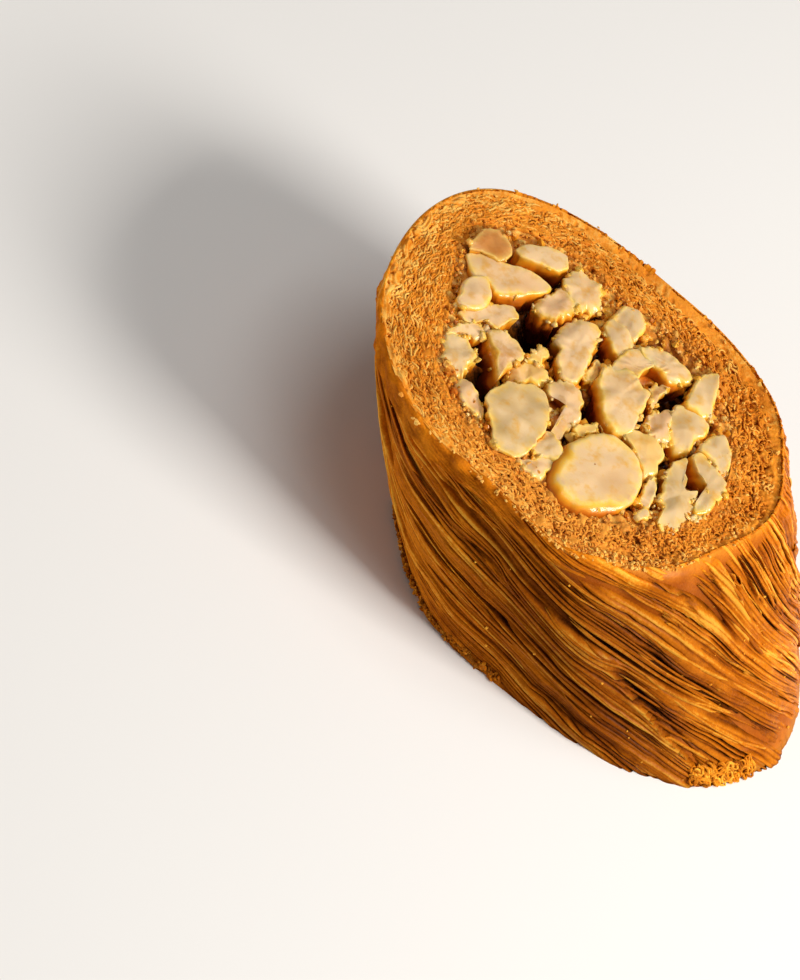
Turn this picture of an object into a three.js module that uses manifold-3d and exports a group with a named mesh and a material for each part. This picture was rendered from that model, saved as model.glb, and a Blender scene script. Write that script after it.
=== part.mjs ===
// A kataifi roll: a slice cut at a slant from a twisted roll of shredded pastry round a filling of
// chopped nuts. The slice stands on its lower cut with the nuts of the upper cut showing. Because
// both cuts slant across the roll, they are ovals, and the wall between them leans.
// Millimetres, +Z up, origin at the centre of the lower cut, the roll leaning towards -X.

import * as THREE from 'three';
import { mergeVertices } from 'three/addons/utils/BufferGeometryUtils.js';
import Module from 'manifold-3d';

const wasm = await Module();
wasm.setup();

// ---------------------------------------------------------------- Driving dimensions

const HEIGHT = 25.8; // from the lower cut to the upper cut
const LEAN = 18.4; // how far the upper cut is carried over towards -X

// The two cuts: half length along X, half width along Y, and the bulges and dents of the rim,
// each as the angle where it is largest, how many degrees it spreads and how far it stands out.
const UPPER = {
  long: 28.9,
  wide: 24.3,
  bulges: [
    [14, 9, 0.5], [46, 10, 1.0], [92, 16, -1.6], [145, 14, 1.2], [190, 15, -0.9],
    [241, 11, 0.7], [273, 9, -1.0], [296, 7, 1.1], [320, 9, 0.5], [344, 11, -1.1],
  ],
};
const LOWER = {
  long: 31.1,
  wide: 24.7,
  bulges: [
    [25, 15, -1.1], [80, 16, 0.6], [130, 15, -0.8], [175, 14, 0.5],
    [244, 10, 1.0], [275, 10, -1.1], [297, 9, -0.4], [325, 13, 0.4], [355, 9, 0.2],
  ],
};
const BELLY = 0.7; // how far the wall swells at half height

// The strands wind up the wall. Their turn from cut to cut is not even: the roll was twisted
// harder at the back than at the front.
const TURN = 69; // mean turn of a strand between the cuts, in degrees, clockwise going up
const TURN_SWING = 34; // how much more or less it is round the roll
const TURN_MOST_AT = 255; // where it is most

// Strands lie together in ribbons, with a groove between one ribbon and the next.
const RIBBONS = 44;
const RIBBON_DEPTH = 0.9;
const GROOVE_WANDER = 0.12; // how far a ribbon strays from an even spacing, in ribbon widths

const LIP = 0.9; // rounding of the wall into the upper cut
const CUT_RELIEF = 0.45; // unevenness of the strand ends on the upper cut

// The filling: its share of the way from the middle to the wall, and where it swells or draws in.
const FILLING_SHARE = 0.755;
const FILLING_SWELLS = [[155, 15, 0.08], [100, 12, -0.06], [205, 14, -0.07], [306, 8, 0.04], [345, 14, 0.08]];
const GAP = 0.3; // between the filling and the pastry

// Nut chunks that show on the upper cut: place along X and Y from the middle of the cut, length,
// width, turn of the length from X in degrees, and how far the chunk stands above the cut.
const CHUNKS = [
  [-19.0, 7.0, 5.5, 4.5, 45, 0.6], [-14.0, 4.5, 11.0, 6.0, 30, 0.9], [-13.0, 10.5, 7.0, 5.0, 40, 0.8],
  [-16.5, -1.0, 5.5, 4.0, 90, 0.0], [-13.0, -2.5, 8.0, 3.5, 55, -0.6], [-12.5, -10.0, 6.0, 4.5, 120, -0.7],
  [-8.5, -6.5, 7.5, 5.5, 105, 0.4], [-5.0, -4.5, 6.5, 4.5, 95, -0.5], [-2.0, -11.0, 10.0, 8.0, 105, -0.2],
  [0.5, -5.0, 7.0, 4.5, 110, 0.2], [-7.5, 8.0, 11.0, 6.0, 85, 0.9], [-3.0, 3.5, 9.0, 5.5, 105, 0.9],
  [-0.5, 8.0, 6.5, 4.5, 120, 0.0], [-0.5, 12.5, 5.0, 4.5, 105, 0.3], [5.0, 1.5, 10.0, 6.5, 125, 1.2],
  [6.0, 9.5, 10.5, 5.0, 30, 0.9], [7.5, 5.5, 6.0, 4.0, 105, -0.5], [12.5, 8.0, 12.0, 5.0, 100, 1.1],
  [8.5, -9.5, 12.0, 11.5, 75, 0.7], [11.5, -2.0, 6.0, 4.0, 145, -0.8], [18.0, 5.5, 4.5, 4.5, 120, 0.3],
  [18.5, -1.5, 9.5, 5.0, 110, 0.3], [3.0, -14.0, 6.5, 3.5, 95, -0.6],
];
const CHUNK_DOME = 1.6; // how much lower a chunk is at its edge than at its middle
const CRUMB_BED = 1.5; // how far the bed of crumbs round the chunks lies below the upper cut

// Hollows between the chunks: place along X and Y, radius, and depth below the upper cut.
const HOLLOWS = [
  [-8.5, 0.5, 4.2, 6.5], [-9.5, -11.0, 3.0, 4.5], [-1.0, 6.5, 2.2, 4.0], [3.5, -2.5, 2.4, 5.0],
  [9.5, 8.0, 2.4, 4.5], [9.0, 2.0, 1.8, 3.5], [15.0, 0.0, 2.6, 5.0], [18.5, -1.0, 2.0, 3.5],
];

// On the lower cut the chunks lie in the order of seeds in a flower head, cut off flush.
const LOWER_CHUNKS = 17;
const LOWER_SPREAD = 4.9; // distance between neighbouring chunks
const LOWER_CHUNK = 9.4; // length of a chunk
const LOWER_HOLLOW = 2.6; // depth of the hollows, up from the lower cut
const SEED_TURN = 137.5; // turn from each chunk to the next, in degrees

// Fineness of the surfaces
const STRAND_COLUMNS = RIBBONS * 4;
const FILLING_COLUMNS = 64;

// ---------------------------------------------------------------- The leaning, bulging roll

const RADIAN = Math.PI / 180;

// The smaller turn between two angles in degrees, from -180 to 180.
function turnBetween(a, b) {
  return THREE.MathUtils.euclideanModulo(a - b + 180, 360) - 180;
}

// The sum of the bulges at an angle in radians.
function swell(bulges, angle) {
  let sum = 0;
  for (const [at, spread, height] of bulges) {
    const off = turnBetween(angle / RADIAN, at) / spread;
    sum += height * Math.exp(-off * off / 2);
  }
  return sum;
}

// A point on the rim of a cut, as seen from the middle of that cut, moved out by some millimetres.
function rim(cut, angle, out) {
  const point = new THREE.Vector2(cut.long * Math.cos(angle), cut.wide * Math.sin(angle));
  return point.setLength(point.length() + swell(cut.bulges, angle) + out);
}

// A point of the roll: share is 0 on the axis and 1 on the wall, level 0 on the lower cut and 1 on
// the upper, and out moves it away from the axis in millimetres.
function rollPoint(angle, share, level, out = 0) {
  const low = rim(LOWER, angle, 0).multiplyScalar(share);
  const high = rim(UPPER, angle, 0).multiplyScalar(share);
  const flat = low.lerp(high, level);
  if (out !== 0) {
    flat.setLength(flat.length() + out);
  }
  return new THREE.Vector3(flat.x - LEAN * level, flat.y, HEIGHT * level);
}

// The angle that a strand has reached at a level, from the angle where it passes half height.
function strandAngle(middle, level) {
  const turn = TURN + TURN_SWING * Math.cos(middle - TURN_MOST_AT * RADIAN);
  return middle - turn * RADIAN * (level - 0.5);
}

// A skin of rows and columns that is closed at both ends: a lathe form whose vertices are each
// put in the place that place(angle, row) gives. The first and last rows are single points.
function wrap(rows, columns, place) {
  const profile = [];
  for (let row = 0; row < rows; row += 1) {
    profile.push(new THREE.Vector2(Math.sin(Math.PI * row / (rows - 1)), row));
  }
  const lathe = new THREE.LatheGeometry(profile, columns);
  lathe.deleteAttribute('normal');
  lathe.deleteAttribute('uv');
  const position = lathe.attributes.position;
  for (let i = 0; i < position.count; i += 1) {
    const column = Math.floor(i / rows) % columns;
    const point = place(2 * Math.PI * column / columns, i % rows);
    position.setXYZ(i, point.x, point.y, point.z);
  }
  const skin = mergeVertices(lathe);
  skin.setIndex(wholeTriangles(skin.index.array));
  return skin;
}

// The triangles that have three different corners: those at the end points have closed up.
function wholeTriangles(corners) {
  const kept = [];
  for (let i = 0; i < corners.length; i += 3) {
    const [a, b, c] = [corners[i], corners[i + 1], corners[i + 2]];
    if (a !== b && b !== c && c !== a) {
      kept.push(a, b, c);
    }
  }
  return kept;
}

// ---------------------------------------------------------------- Pastry

// How far a ribbon stands out of its groove, at the angle where it passes half height.
function ribbonHeight(middle) {
  const wander = GROOVE_WANDER * Math.sin(5 * middle + 0.7) + GROOVE_WANDER * Math.sin(9 * middle);
  const wave = 0.5 + 0.5 * Math.cos(RIBBONS * middle + 2 * Math.PI * wander);
  const uneven = 0.75 + 0.25 * Math.sin(13 * middle + 1.1);
  return RIBBON_DEPTH * uneven * Math.sqrt(wave);
}

// The solid of wound strands, before the filling's room is taken out of it. Each column of the
// skin follows one strand up the wall and in across the cut.
function woundStrands() {
  const rows = [
    { level: 0, share: 0 },
    { level: 0, share: 0.62 },
    { level: 0, share: 1 },
    { level: 0.06, share: 1 },
    { level: 0.19, share: 1 },
    { level: 0.34, share: 1 },
    { level: 0.5, share: 1 },
    { level: 0.66, share: 1 },
    { level: 0.81, share: 1 },
    { level: 1 - LIP / HEIGHT, share: 1 },
    { level: 1, share: 1, inset: LIP },
    { level: 1, share: 0.89 },
    { level: 1, share: 0.81 },
    { level: 1, share: 0.72 },
    { level: 1, share: 0.62 },
    { level: 1, share: 0 },
  ];
  return wrap(rows.length, STRAND_COLUMNS, (middle, number) => {
    const { level, share, inset = 0 } = rows[number];
    const onWall = share === 1;
    const groove = ribbonHeight(middle) - RIBBON_DEPTH / 2;
    const belly = BELLY * 4 * level * (1 - level);
    const out = onWall ? groove + belly - inset : 0;
    const point = rollPoint(strandAngle(middle, level), share, level, out);
    if (level === 1 && share > 0) {
      point.z += CUT_RELIEF * Math.sin(17 * middle + 31 * share) * Math.cos(6 * middle - 9 * share);
    }
    return point;
  });
}

// ---------------------------------------------------------------- Filling

// The filling's side, or the wall of the room it lies in when out is the gap between them.
function fillingPoint(angle, level, out = 0) {
  const share = FILLING_SHARE + swell(FILLING_SWELLS, angle);
  return rollPoint(angle, share, level, out);
}

// The room for the filling: it runs past both cuts.
function fillingRoom() {
  const levels = [-0.1, -0.1, 1.1, 1.1];
  return wrap(levels.length, FILLING_COLUMNS, (angle, number) => {
    const level = levels[number];
    if (number === 0 || number === levels.length - 1) {
      return new THREE.Vector3(-LEAN * level, 0, HEIGHT * level);
    }
    return fillingPoint(angle, level, GAP);
  });
}

// How far out a point lies in a chunk: 0 in the middle, 1 on its edge.
function reach(chunk, x, y) {
  const [cx, cy, length, width, turn] = chunk;
  const local = new THREE.Vector2(x - cx, y - cy).rotateAround(new THREE.Vector2(), -turn * RADIAN);
  return Math.hypot(2 * local.x / length, 2 * local.y / width);
}

// The height of the upper cut's nuts over a place, counted from the middle of the cut.
function upperHeight(x, y) {
  let height = HEIGHT - CRUMB_BED;
  for (const [hx, hy, radius, depth] of HOLLOWS) {
    const deepest = HEIGHT - depth;
    const rise = THREE.MathUtils.smoothstep(Math.hypot(x - hx, y - hy), 0.5 * radius, 1.2 * radius);
    height = Math.min(height, deepest + (depth - CRUMB_BED) * rise);
  }
  for (const chunk of CHUNKS) {
    const out = reach(chunk, x, y);
    if (out < 1.12) {
      height = Math.max(height, HEIGHT + chunk[5] - CHUNK_DOME * out ** 4);
    }
  }
  return height;
}

// The chunks of the lower cut, each turned on from the one before.
function lowerChunks() {
  const chunks = [];
  for (let i = 0; i < LOWER_CHUNKS; i += 1) {
    const turn = i * SEED_TURN;
    const away = LOWER_SPREAD * Math.sqrt(i);
    const x = away * Math.cos(turn * RADIAN) * LOWER.long / LOWER.wide;
    const y = away * Math.sin(turn * RADIAN);
    chunks.push([x, y, LOWER_CHUNK, LOWER_CHUNK * (0.75 + 0.2 * Math.sin(i)), turn + 40]);
  }
  return chunks;
}

// The height of the lower cut's nuts over a place: 0 where a chunk is cut off flush.
function lowerHeight(chunks, x, y) {
  const nearest = Math.min(...chunks.map((chunk) => reach(chunk, x, y)));
  return LOWER_HOLLOW * THREE.MathUtils.smoothstep(nearest, 0.95, 1.35);
}

// The filling, out to its uneven outline, through the roll from cut to cut.
function nutFilling() {
  const lowerShares = [0, 0.16, 0.3, 0.43, 0.56, 0.68, 0.79, 0.9, 1];
  const upperShares = [1, 0.94, 0.86, 0.78, 0.7, 0.61, 0.52, 0.43, 0.34, 0.25, 0.17, 0.09, 0];
  const chunks = lowerChunks();
  return wrap(lowerShares.length + upperShares.length, FILLING_COLUMNS, (angle, number) => {
    if (number < lowerShares.length) {
      const edge = fillingPoint(angle, 0);
      const x = edge.x * lowerShares[number];
      const y = edge.y * lowerShares[number];
      const z = lowerHeight(chunks, x, y);
      return new THREE.Vector3(x - LEAN * z / HEIGHT, y, z);
    }
    const share = upperShares[number - lowerShares.length];
    const edge = fillingPoint(angle, 1);
    const x = (edge.x + LEAN) * share;
    const y = edge.y * share;
    const z = upperHeight(x, y);
    return new THREE.Vector3(x - LEAN * z / HEIGHT, y, z);
  });
}

// ---------------------------------------------------------------- Cutting one solid out of another

function toManifold(geometry) {
  return new wasm.Manifold(new wasm.Mesh({
    numProp: 3,
    vertProperties: new Float32Array(geometry.attributes.position.array),
    triVerts: new Uint32Array(geometry.index.array),
  }));
}

function toGeometry(manifold) {
  const mesh = manifold.getMesh();
  const geometry = new THREE.BufferGeometry();
  geometry.setAttribute('position', new THREE.BufferAttribute(mesh.vertProperties, 3));
  geometry.setIndex(new THREE.BufferAttribute(mesh.triVerts, 1));
  return geometry;
}

// ---------------------------------------------------------------- The roll

function solid(name, geometry, colour, roughness) {
  const material = new THREE.MeshStandardMaterial({ color: colour, roughness, metalness: 0 });
  const mesh = new THREE.Mesh(geometry, material);
  mesh.name = name;
  return mesh;
}

const pastry = toManifold(woundStrands()).subtract(toManifold(fillingRoom()));

const roll = new THREE.Group();
roll.name = 'kataifi_roll';
roll.add(solid('kataifi_pastry', toGeometry(pastry), 0xc27a2c, 0.55));
roll.add(solid('nut_filling', nutFilling(), 0xe8cf9c, 0.5));

export default roll;
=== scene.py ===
# %% [markdown]
# # Kataifi roll, cut at a slant
# Kataifi is pastry shredded into strands about a millimetre thick. A bundle of strands is wound and
# twisted round chopped nuts, baked, soaked in syrup and cut across at a slant, so each cut is an
# oval and the wall between the cuts leans. The CAD model gives the roll as two solids: the wound
# pastry and the nut filling. This lesson builds the strands, the cut ends and the nuts in their
# place. Every shape is a surface worked out with numpy, in metres, in the frame of the CAD model.

# %% Load the frame
import math

import bpy
import numpy as np
from mathutils import Matrix


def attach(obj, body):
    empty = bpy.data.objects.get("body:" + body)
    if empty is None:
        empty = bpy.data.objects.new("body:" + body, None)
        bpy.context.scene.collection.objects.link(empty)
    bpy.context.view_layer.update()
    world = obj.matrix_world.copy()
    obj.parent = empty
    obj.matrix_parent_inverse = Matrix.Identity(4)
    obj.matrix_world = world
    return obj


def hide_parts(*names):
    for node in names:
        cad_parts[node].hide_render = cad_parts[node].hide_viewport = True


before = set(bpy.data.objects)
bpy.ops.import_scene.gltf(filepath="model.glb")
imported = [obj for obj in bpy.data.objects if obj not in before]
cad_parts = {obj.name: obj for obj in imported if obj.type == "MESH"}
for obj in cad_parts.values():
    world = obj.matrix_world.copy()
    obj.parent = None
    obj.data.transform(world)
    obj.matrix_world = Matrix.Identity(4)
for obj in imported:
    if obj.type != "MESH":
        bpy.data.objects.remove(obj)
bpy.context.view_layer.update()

MM = 0.001
TAU = 2 * math.pi

# %% [markdown]
# ## Camera
# The photograph looks down at the upper cut at about 50 degrees. Its roll leans, so the camera is
# turned about its own axis: the slice stands flat here and still shows as it does in the photo.
# A long lens keeps the two ovals nearly parallel, as they are in the picture.

# %% Camera
LOOK_AT = np.array([-26.7, -10.9, 0.0]) * MM
LOOK_AZIMUTH = math.radians(6.89)
LOOK_ELEVATION = math.radians(50.15)
LOOK_ROLL = math.radians(36.39)
LOOK_DISTANCE = 374.8 * MM
LENS_MM = 110


def camera_axes():
    """Right, up and back: back comes from azimuth and elevation, the other two turn by the roll."""
    level = math.cos(LOOK_ELEVATION)
    back = np.array([level * math.sin(LOOK_AZIMUTH), -level * math.cos(LOOK_AZIMUTH),
                     math.sin(LOOK_ELEVATION)])
    right = np.cross([0, 0, 1], back)
    right /= np.linalg.norm(right)
    up = np.cross(back, right)
    turned_right = math.cos(LOOK_ROLL) * right + math.sin(LOOK_ROLL) * up
    turned_up = math.cos(LOOK_ROLL) * up - math.sin(LOOK_ROLL) * right
    return turned_right, turned_up, back


RIGHT, UP, BACK = camera_axes()


def add_to_scene(obj, position, right, up, back):
    """Links a camera or lamp and puts it at a position, its own axes along three directions."""
    bpy.context.scene.collection.objects.link(obj)
    rows = [[right[i], up[i], back[i], position[i]] for i in range(3)]
    obj.matrix_world = Matrix([*rows, [0, 0, 0, 1]])


camera_data = bpy.data.cameras.new("camera")
camera_data.lens = LENS_MM
camera_data.clip_start = 0.01
camera_data.clip_end = 20
camera = bpy.data.objects.new("camera", camera_data)
add_to_scene(camera, LOOK_AT + LOOK_DISTANCE * BACK, RIGHT, UP, BACK)
bpy.context.scene.camera = camera
print("camera at", (LOOK_AT + LOOK_DISTANCE * BACK).round(4))

# %% [markdown]
# ## Light and floor
# The photo is lit from the right and above, with a bright white surrounding that fills the shade.
# The main lamp stands low at the right and grazes the wall, which leaves the middle of the wall dark
# and brings out its strands, and painted shade in the wall's colour darkens it further. Weak lamps
# stand above and at the left, and the floor bounces light.

# %% Light and floor
FLOOR_HALF = 1.5
LAMP_DISTANCE = 0.55
LAMPS_AIM = np.array([-9, 0, 13]) * MM
# how far right, over and towards the camera, size in metres, watts and colour
LAMPS = {
    "key_lamp": (0.84, -0.22, 0.46, 0.2, 3.9, (1.0, 0.96, 0.90)),
    "fill_lamp": (-0.92, -0.1, 0.35, 0.4, 2.6, (1.0, 0.95, 0.88)),
    "top_lamp": (0.5, 0.55, 0.75, 0.35, 1.1, (1.0, 0.98, 0.95)),
}
SURROUNDING = (1.0, 0.985, 0.96, 1)
SURROUNDING_STRENGTH = 0.16


def lamp(name, across, over, towards, size, watts, colour):
    """A square soft lamp, placed by how far it is to the right of, above and in front of the roll."""
    data = bpy.data.lights.new(name, "AREA")
    data.size = size
    data.energy = watts
    data.color = colour
    back = across * RIGHT + over * UP + towards * BACK
    back /= np.linalg.norm(back)
    side = np.cross([0, 1, 0], back)
    side /= np.linalg.norm(side)
    at = LAMPS_AIM + LAMP_DISTANCE * back
    add_to_scene(bpy.data.objects.new(name, data), at, side, np.cross(back, side), back)


def set_inputs(shader, settings):
    """Sets a shader's inputs, by name, to constants."""
    for name, value in settings.items():
        shader.inputs[name].default_value = value


for name, settings in LAMPS.items():
    lamp(name, *settings)

world = bpy.data.worlds.new("studio")
world.use_nodes = True
set_inputs(world.node_tree.nodes["Background"], {"Color": SURROUNDING, "Strength": SURROUNDING_STRENGTH})
bpy.context.scene.world = world
bpy.context.scene.view_settings.view_transform = "Standard"

floor_mesh = bpy.data.meshes.new("floor")
corners = [(x * FLOOR_HALF, y * FLOOR_HALF, 0) for x, y in ((-1, -1), (1, -1), (1, 1), (-1, 1))]
floor_mesh.from_pydata(corners, [], [(0, 1, 2, 3)])
floor = bpy.data.objects.new("floor", floor_mesh)
bpy.context.scene.collection.objects.link(floor)
floor_material = bpy.data.materials.new("pale_floor")
floor_material.use_nodes = True
floor_shader = floor_material.node_tree.nodes["Principled BSDF"]
set_inputs(floor_shader, {"Base Color": (0.80, 0.79, 0.78, 1), "Roughness": 0.9})
floor_mesh.materials.append(floor_material)

# %% [markdown]
# ## The leaning, bulging roll
# Everything on the roll is placed by three numbers: the angle round it, the share of the way from
# the axis (0) to the wall (1), and the level from the lower cut (0) to the upper cut (1). Each cut
# is an oval with a few bulges and dents, the same ones as in the CAD model, and a point between
# the cuts lies on the straight line from one rim to the other.

# %% The roll's shape
HEIGHT = 25.8 * MM
LEAN = 18.4 * MM
UPPER = {
    "long": 28.9 * MM, "wide": 24.3 * MM,
    "bulges": [(14, 9, 0.5), (46, 10, 1.0), (92, 16, -1.6), (145, 14, 1.2), (190, 15, -0.9),
               (241, 11, 0.7), (273, 9, -1.0), (296, 7, 1.1), (320, 9, 0.5), (344, 11, -1.1)],
}
LOWER = {
    "long": 31.1 * MM, "wide": 24.7 * MM,
    "bulges": [(25, 15, -1.1), (80, 16, 0.6), (130, 15, -0.8), (175, 14, 0.5),
               (244, 10, 1.0), (275, 10, -1.1), (297, 9, -0.4), (325, 13, 0.4), (355, 9, 0.2)],
}
CUTS = {1: UPPER, -1: LOWER}
BELLY = 0.7 * MM
# nothing stands higher than this, so that all of it stays inside the CAD box
HIGHEST = HEIGHT + 1.15 * MM
# levels that a strand drops for each radian round the roll, how much that swings because the cuts
# cross the axis at a slant, and where the swing is centred
WIND = 0.79
SLANT = 0.53
SLANT_AT = math.radians(-10)
ROUND = TAU * WIND
# near the rim at the right end the strands fan out: how many levels more they drop, where, and over
# how many degrees
FAN = 0.18
FAN_AT = 350
FAN_SPREAD = 25
FILLING_SHARE = 0.755
FILLING_SWELLS = [(155, 15, 0.08), (100, 12, -0.06), (205, 14, -0.07), (306, 8, 0.04), (345, 14, 0.08)]


def smoothstep(x, low, high):
    """0 below low, 1 above high, and a smooth S between them."""
    t = np.clip((x - low) / (high - low), 0, 1)
    return t * t * (3 - 2 * t)


def near(angle, degrees, spread):
    """A bell over an angle: 1 where the angle is the given one, falling away over the spread."""
    off = (np.degrees(angle) - degrees + 180) % 360 - 180
    return np.exp(-((off / spread) ** 2) / 2)


def swell(bulges, angle):
    """The sum of the bells of a list of bulges."""
    return sum(height * near(angle, at, spread) for at, spread, height in bulges)


def rim(cut, angle):
    """X and Y of a rim: an oval, with its distance from the middle changed by the bulges."""
    x, y = cut["long"] * np.cos(angle), cut["wide"] * np.sin(angle)
    grow = 1 + swell(cut["bulges"], angle) * MM / np.hypot(x, y)
    return x * grow, y * grow


def roll_point(angle, share, level, out=0.0):
    """A point of the roll: both rims are drawn in by the share, mixed by the level, moved out."""
    low_x, low_y = rim(LOWER, angle)
    high_x, high_y = rim(UPPER, angle)
    x = share * (low_x + (high_x - low_x) * level)
    y = share * (low_y + (high_y - low_y) * level)
    grow = 1 + out / np.maximum(np.hypot(x, y), 1e-6)
    z = HEIGHT * level + np.zeros_like(x)
    return np.stack([x * grow - LEAN * level, y * grow, z], -1)


def belly(level):
    """How far the wall bulges out between the cuts: a parabola that is 0 at both."""
    return BELLY * 4 * level * (1 - level)


def off_floor(points):
    """Lifts points that lie under the floor up to it."""
    points[..., 2] = np.maximum(points[..., 2], 0)


def fanned(angle, level):
    """How far the fan at the right end moves the winding number of strands."""
    return FAN * near(angle, FAN_AT, FAN_SPREAD) * smoothstep(level, 0.5, 1.0)


def winding(angle, level):
    """The number that stays the same along one strand, which is a helix about the leaning axis. Once
    round the roll it grows by ROUND. Strands lie nearly level at the front and steep at the right."""
    return level + WIND * angle - SLANT * np.cos(angle - SLANT_AT) - fanned(angle, level)


WINDING_ANGLES = np.linspace(-TAU, 2 * TAU, 4000)


def strand_angle(wound, level):
    """The angle at which the strand with this winding number crosses a level: looked up in a table of
    the helix, then corrected for the fan until it settles."""
    table = winding(WINDING_ANGLES, 0.0)
    angle = np.interp(wound - level, table, WINDING_ANGLES)
    for _ in range(8):
        angle = np.interp(wound - level + fanned(angle, level), table, WINDING_ANGLES)
    return angle


def filling_share(angle):
    """How far out the filling reaches at an angle."""
    return FILLING_SHARE + swell(FILLING_SWELLS, angle)


def ripple(points, size, seed, waves=14):
    """Smooth noise about 0: the mean of sine waves of one length, each in its own direction."""
    draw = np.random.default_rng(seed)
    ways = draw.normal(size=(waves, 3))
    ways *= TAU / size / np.linalg.norm(ways, axis=1, keepdims=True)
    phases = draw.uniform(0, TAU, waves)
    total = np.zeros(points.shape[:-1])
    for way, phase in zip(ways, phases):
        total += np.sin(points @ way + phase)
    return total * math.sqrt(2 / waves)


def cells(points, size, seed):
    """Crumbly noise over X and Y: every square of a grid holds one dot, and the value is how much
    farther the second nearest dot is than the nearest, so it is 0 on the borders between dots."""
    dots = np.random.default_rng(seed).uniform(0.1, 0.9, (64, 64, 2))
    place = points[..., :2] / size
    square = np.floor(place).astype(int)
    nearest = np.full(place.shape[:-1], 9.0)
    second = nearest.copy()
    for i in (-1, 0, 1):
        for j in (-1, 0, 1):
            corner = square + (i, j)
            dot = corner + dots[corner[..., 0] % 64, corner[..., 1] % 64]
            off = np.linalg.norm(place - dot, axis=-1)
            second = np.minimum(second, np.maximum(nearest, off))
            nearest = np.minimum(nearest, off)
    return second - nearest


def lip_size(angle):
    """Radius of the pressed lip round a cut: wide at the front left, narrow elsewhere."""
    return (0.75 + 0.8 * near(angle, 238, 26) + 0.35 * near(angle, 95, 25)) * MM


print("half lengths of the upper cut in mm:", [UPPER["long"] / MM, UPPER["wide"] / MM])

# %% [markdown]
# ## From arrays to meshes
# Numpy arrays become Blender meshes here. A grid gives a quad for each cell, and a closed grid also
# joins its last column to its first. Values such as a strand's own tone go along as attributes of
# the vertices, which the materials read later. The volume is printed: above zero, faces point out.

# %% Mesh helpers
def grid_quads(rows, columns, closed_rows=False):
    """Quads over a grid whose columns close on themselves, rows counted along the first axis."""
    last = rows if closed_rows else rows - 1
    r, c = np.meshgrid(np.arange(last), np.arange(columns), indexing="ij")
    r_next, c_next = (r + 1) % rows, (c + 1) % columns
    here, beyond = r * columns, r_next * columns
    return np.stack([here + c, here + c_next, beyond + c_next, beyond + c], -1).reshape(-1, 4)


def volume_of(points, faces):
    """Volume inside the faces: the sum over their triangles of a . (b x c) / 6."""
    volume = 0.0
    for block in faces:
        for i in range(1, block.shape[1] - 1):
            a, b, c = points[block[:, 0]], points[block[:, i]], points[block[:, i + 1]]
            volume += np.einsum("ij,ij->", a, np.cross(b, c)) / 6
    return volume


def make_piece(name, points, faces, material, slot, replaced, smooth=True, **values):
    """A mesh object from points and a list of face arrays, each array holding faces of one size."""
    mesh = bpy.data.meshes.new(name)
    sizes = np.concatenate([np.full(len(block), block.shape[1]) for block in faces])
    corner_list = np.concatenate([block.ravel() for block in faces]).astype(np.int32)
    mesh.vertices.add(len(points))
    mesh.vertices.foreach_set("co", points.astype(np.float32).ravel())
    mesh.loops.add(len(corner_list))
    mesh.loops.foreach_set("vertex_index", corner_list)
    mesh.polygons.add(len(sizes))
    mesh.polygons.foreach_set("loop_start", np.concatenate([[0], np.cumsum(sizes)[:-1]]).astype(np.int32))
    mesh.update(calc_edges=True)
    mesh.validate()
    mesh.polygons.foreach_set("use_smooth", np.full(len(mesh.polygons), smooth))
    for key, value in values.items():
        layer = mesh.attributes.new(key, "FLOAT", "POINT")
        layer.data.foreach_set("value", value.astype(np.float32).ravel())
    mesh.materials.append(material)
    piece = bpy.data.objects.new(name, mesh)
    bpy.context.scene.collection.objects.link(piece)
    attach(piece, "root")
    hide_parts(replaced)
    low, high = (points.min(0) / MM).round(1), (points.max(0) / MM).round(1)
    volume = volume_of(points, faces) / MM**3
    print(f"{name}: {(sizes - 2).sum()} triangles, {volume:.0f} mm3, from {low} to {high}")


def tubes(paths, normals, widths, depths, sides):
    """Flattened tubes along many paths at once, with closed ends.

    paths and normals are (tubes, steps, 3), widths and depths (tubes, steps). Each ring is an oval:
    half the width along the side of the path, half the depth along the normal."""
    along = np.gradient(paths, axis=1)
    along /= np.linalg.norm(along, axis=2, keepdims=True)
    side = np.cross(along, normals)
    side /= np.linalg.norm(side, axis=2, keepdims=True)
    upward = np.cross(side, along)
    theta = TAU * np.arange(sides) / sides
    rings = (paths[:, :, None, :]
             + side[:, :, None, :] * (np.cos(theta)[:, None] * widths[:, :, None, None] / 2)
             + upward[:, :, None, :] * (np.sin(theta)[:, None] * depths[:, :, None, None] / 2))
    count, steps = paths.shape[:2]
    t, s, k = np.meshgrid(np.arange(count), np.arange(steps - 1), np.arange(sides), indexing="ij")
    ring = (t * steps + s) * sides
    k_next = (k + 1) % sides
    quads = np.stack([ring + k, ring + sides + k, ring + sides + k_next, ring + k_next], -1).reshape(-1, 4)
    first = np.arange(count)[:, None] * steps * sides + np.arange(sides)
    last = first[:, ::-1] + (steps - 1) * sides
    return rings.reshape(-1, 3), [quads, first, last]


def spread(values, steps, sides):
    """One value for each tube, repeated for each of its vertices."""
    return np.repeat(values, steps * sides)


# %% [markdown]
# ## Materials
# The pastry's colour runs from near black in the grooves to bright gold on the crests: painted
# shade where it lies deep and painted light where it stands high. The geometry knows how deep each
# vertex lies and which strand it belongs to, so those values drive the colour, and noise on Object
# coordinates adds the finer blotches. One node group holds the blotches, because pastry, nuts and
# crumbs all need them.

# %% Node helpers and the shared group
def socket(tree, node, name, value):
    """Sets a node's input to a constant, or links it when the value is another node's output."""
    if isinstance(value, bpy.types.NodeSocket):
        tree.links.new(value, node.inputs[name])
    else:
        node.inputs[name].default_value = value


def add_node(tree, kind, settings=None, **inputs):
    """Adds a node, sets its properties, and fills its inputs by name."""
    node = tree.nodes.new(kind)
    for key, value in (settings or {}).items():
        setattr(node, key, value)
    for name, value in inputs.items():
        socket(tree, node, name.replace("_", " "), value)
    return node


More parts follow.
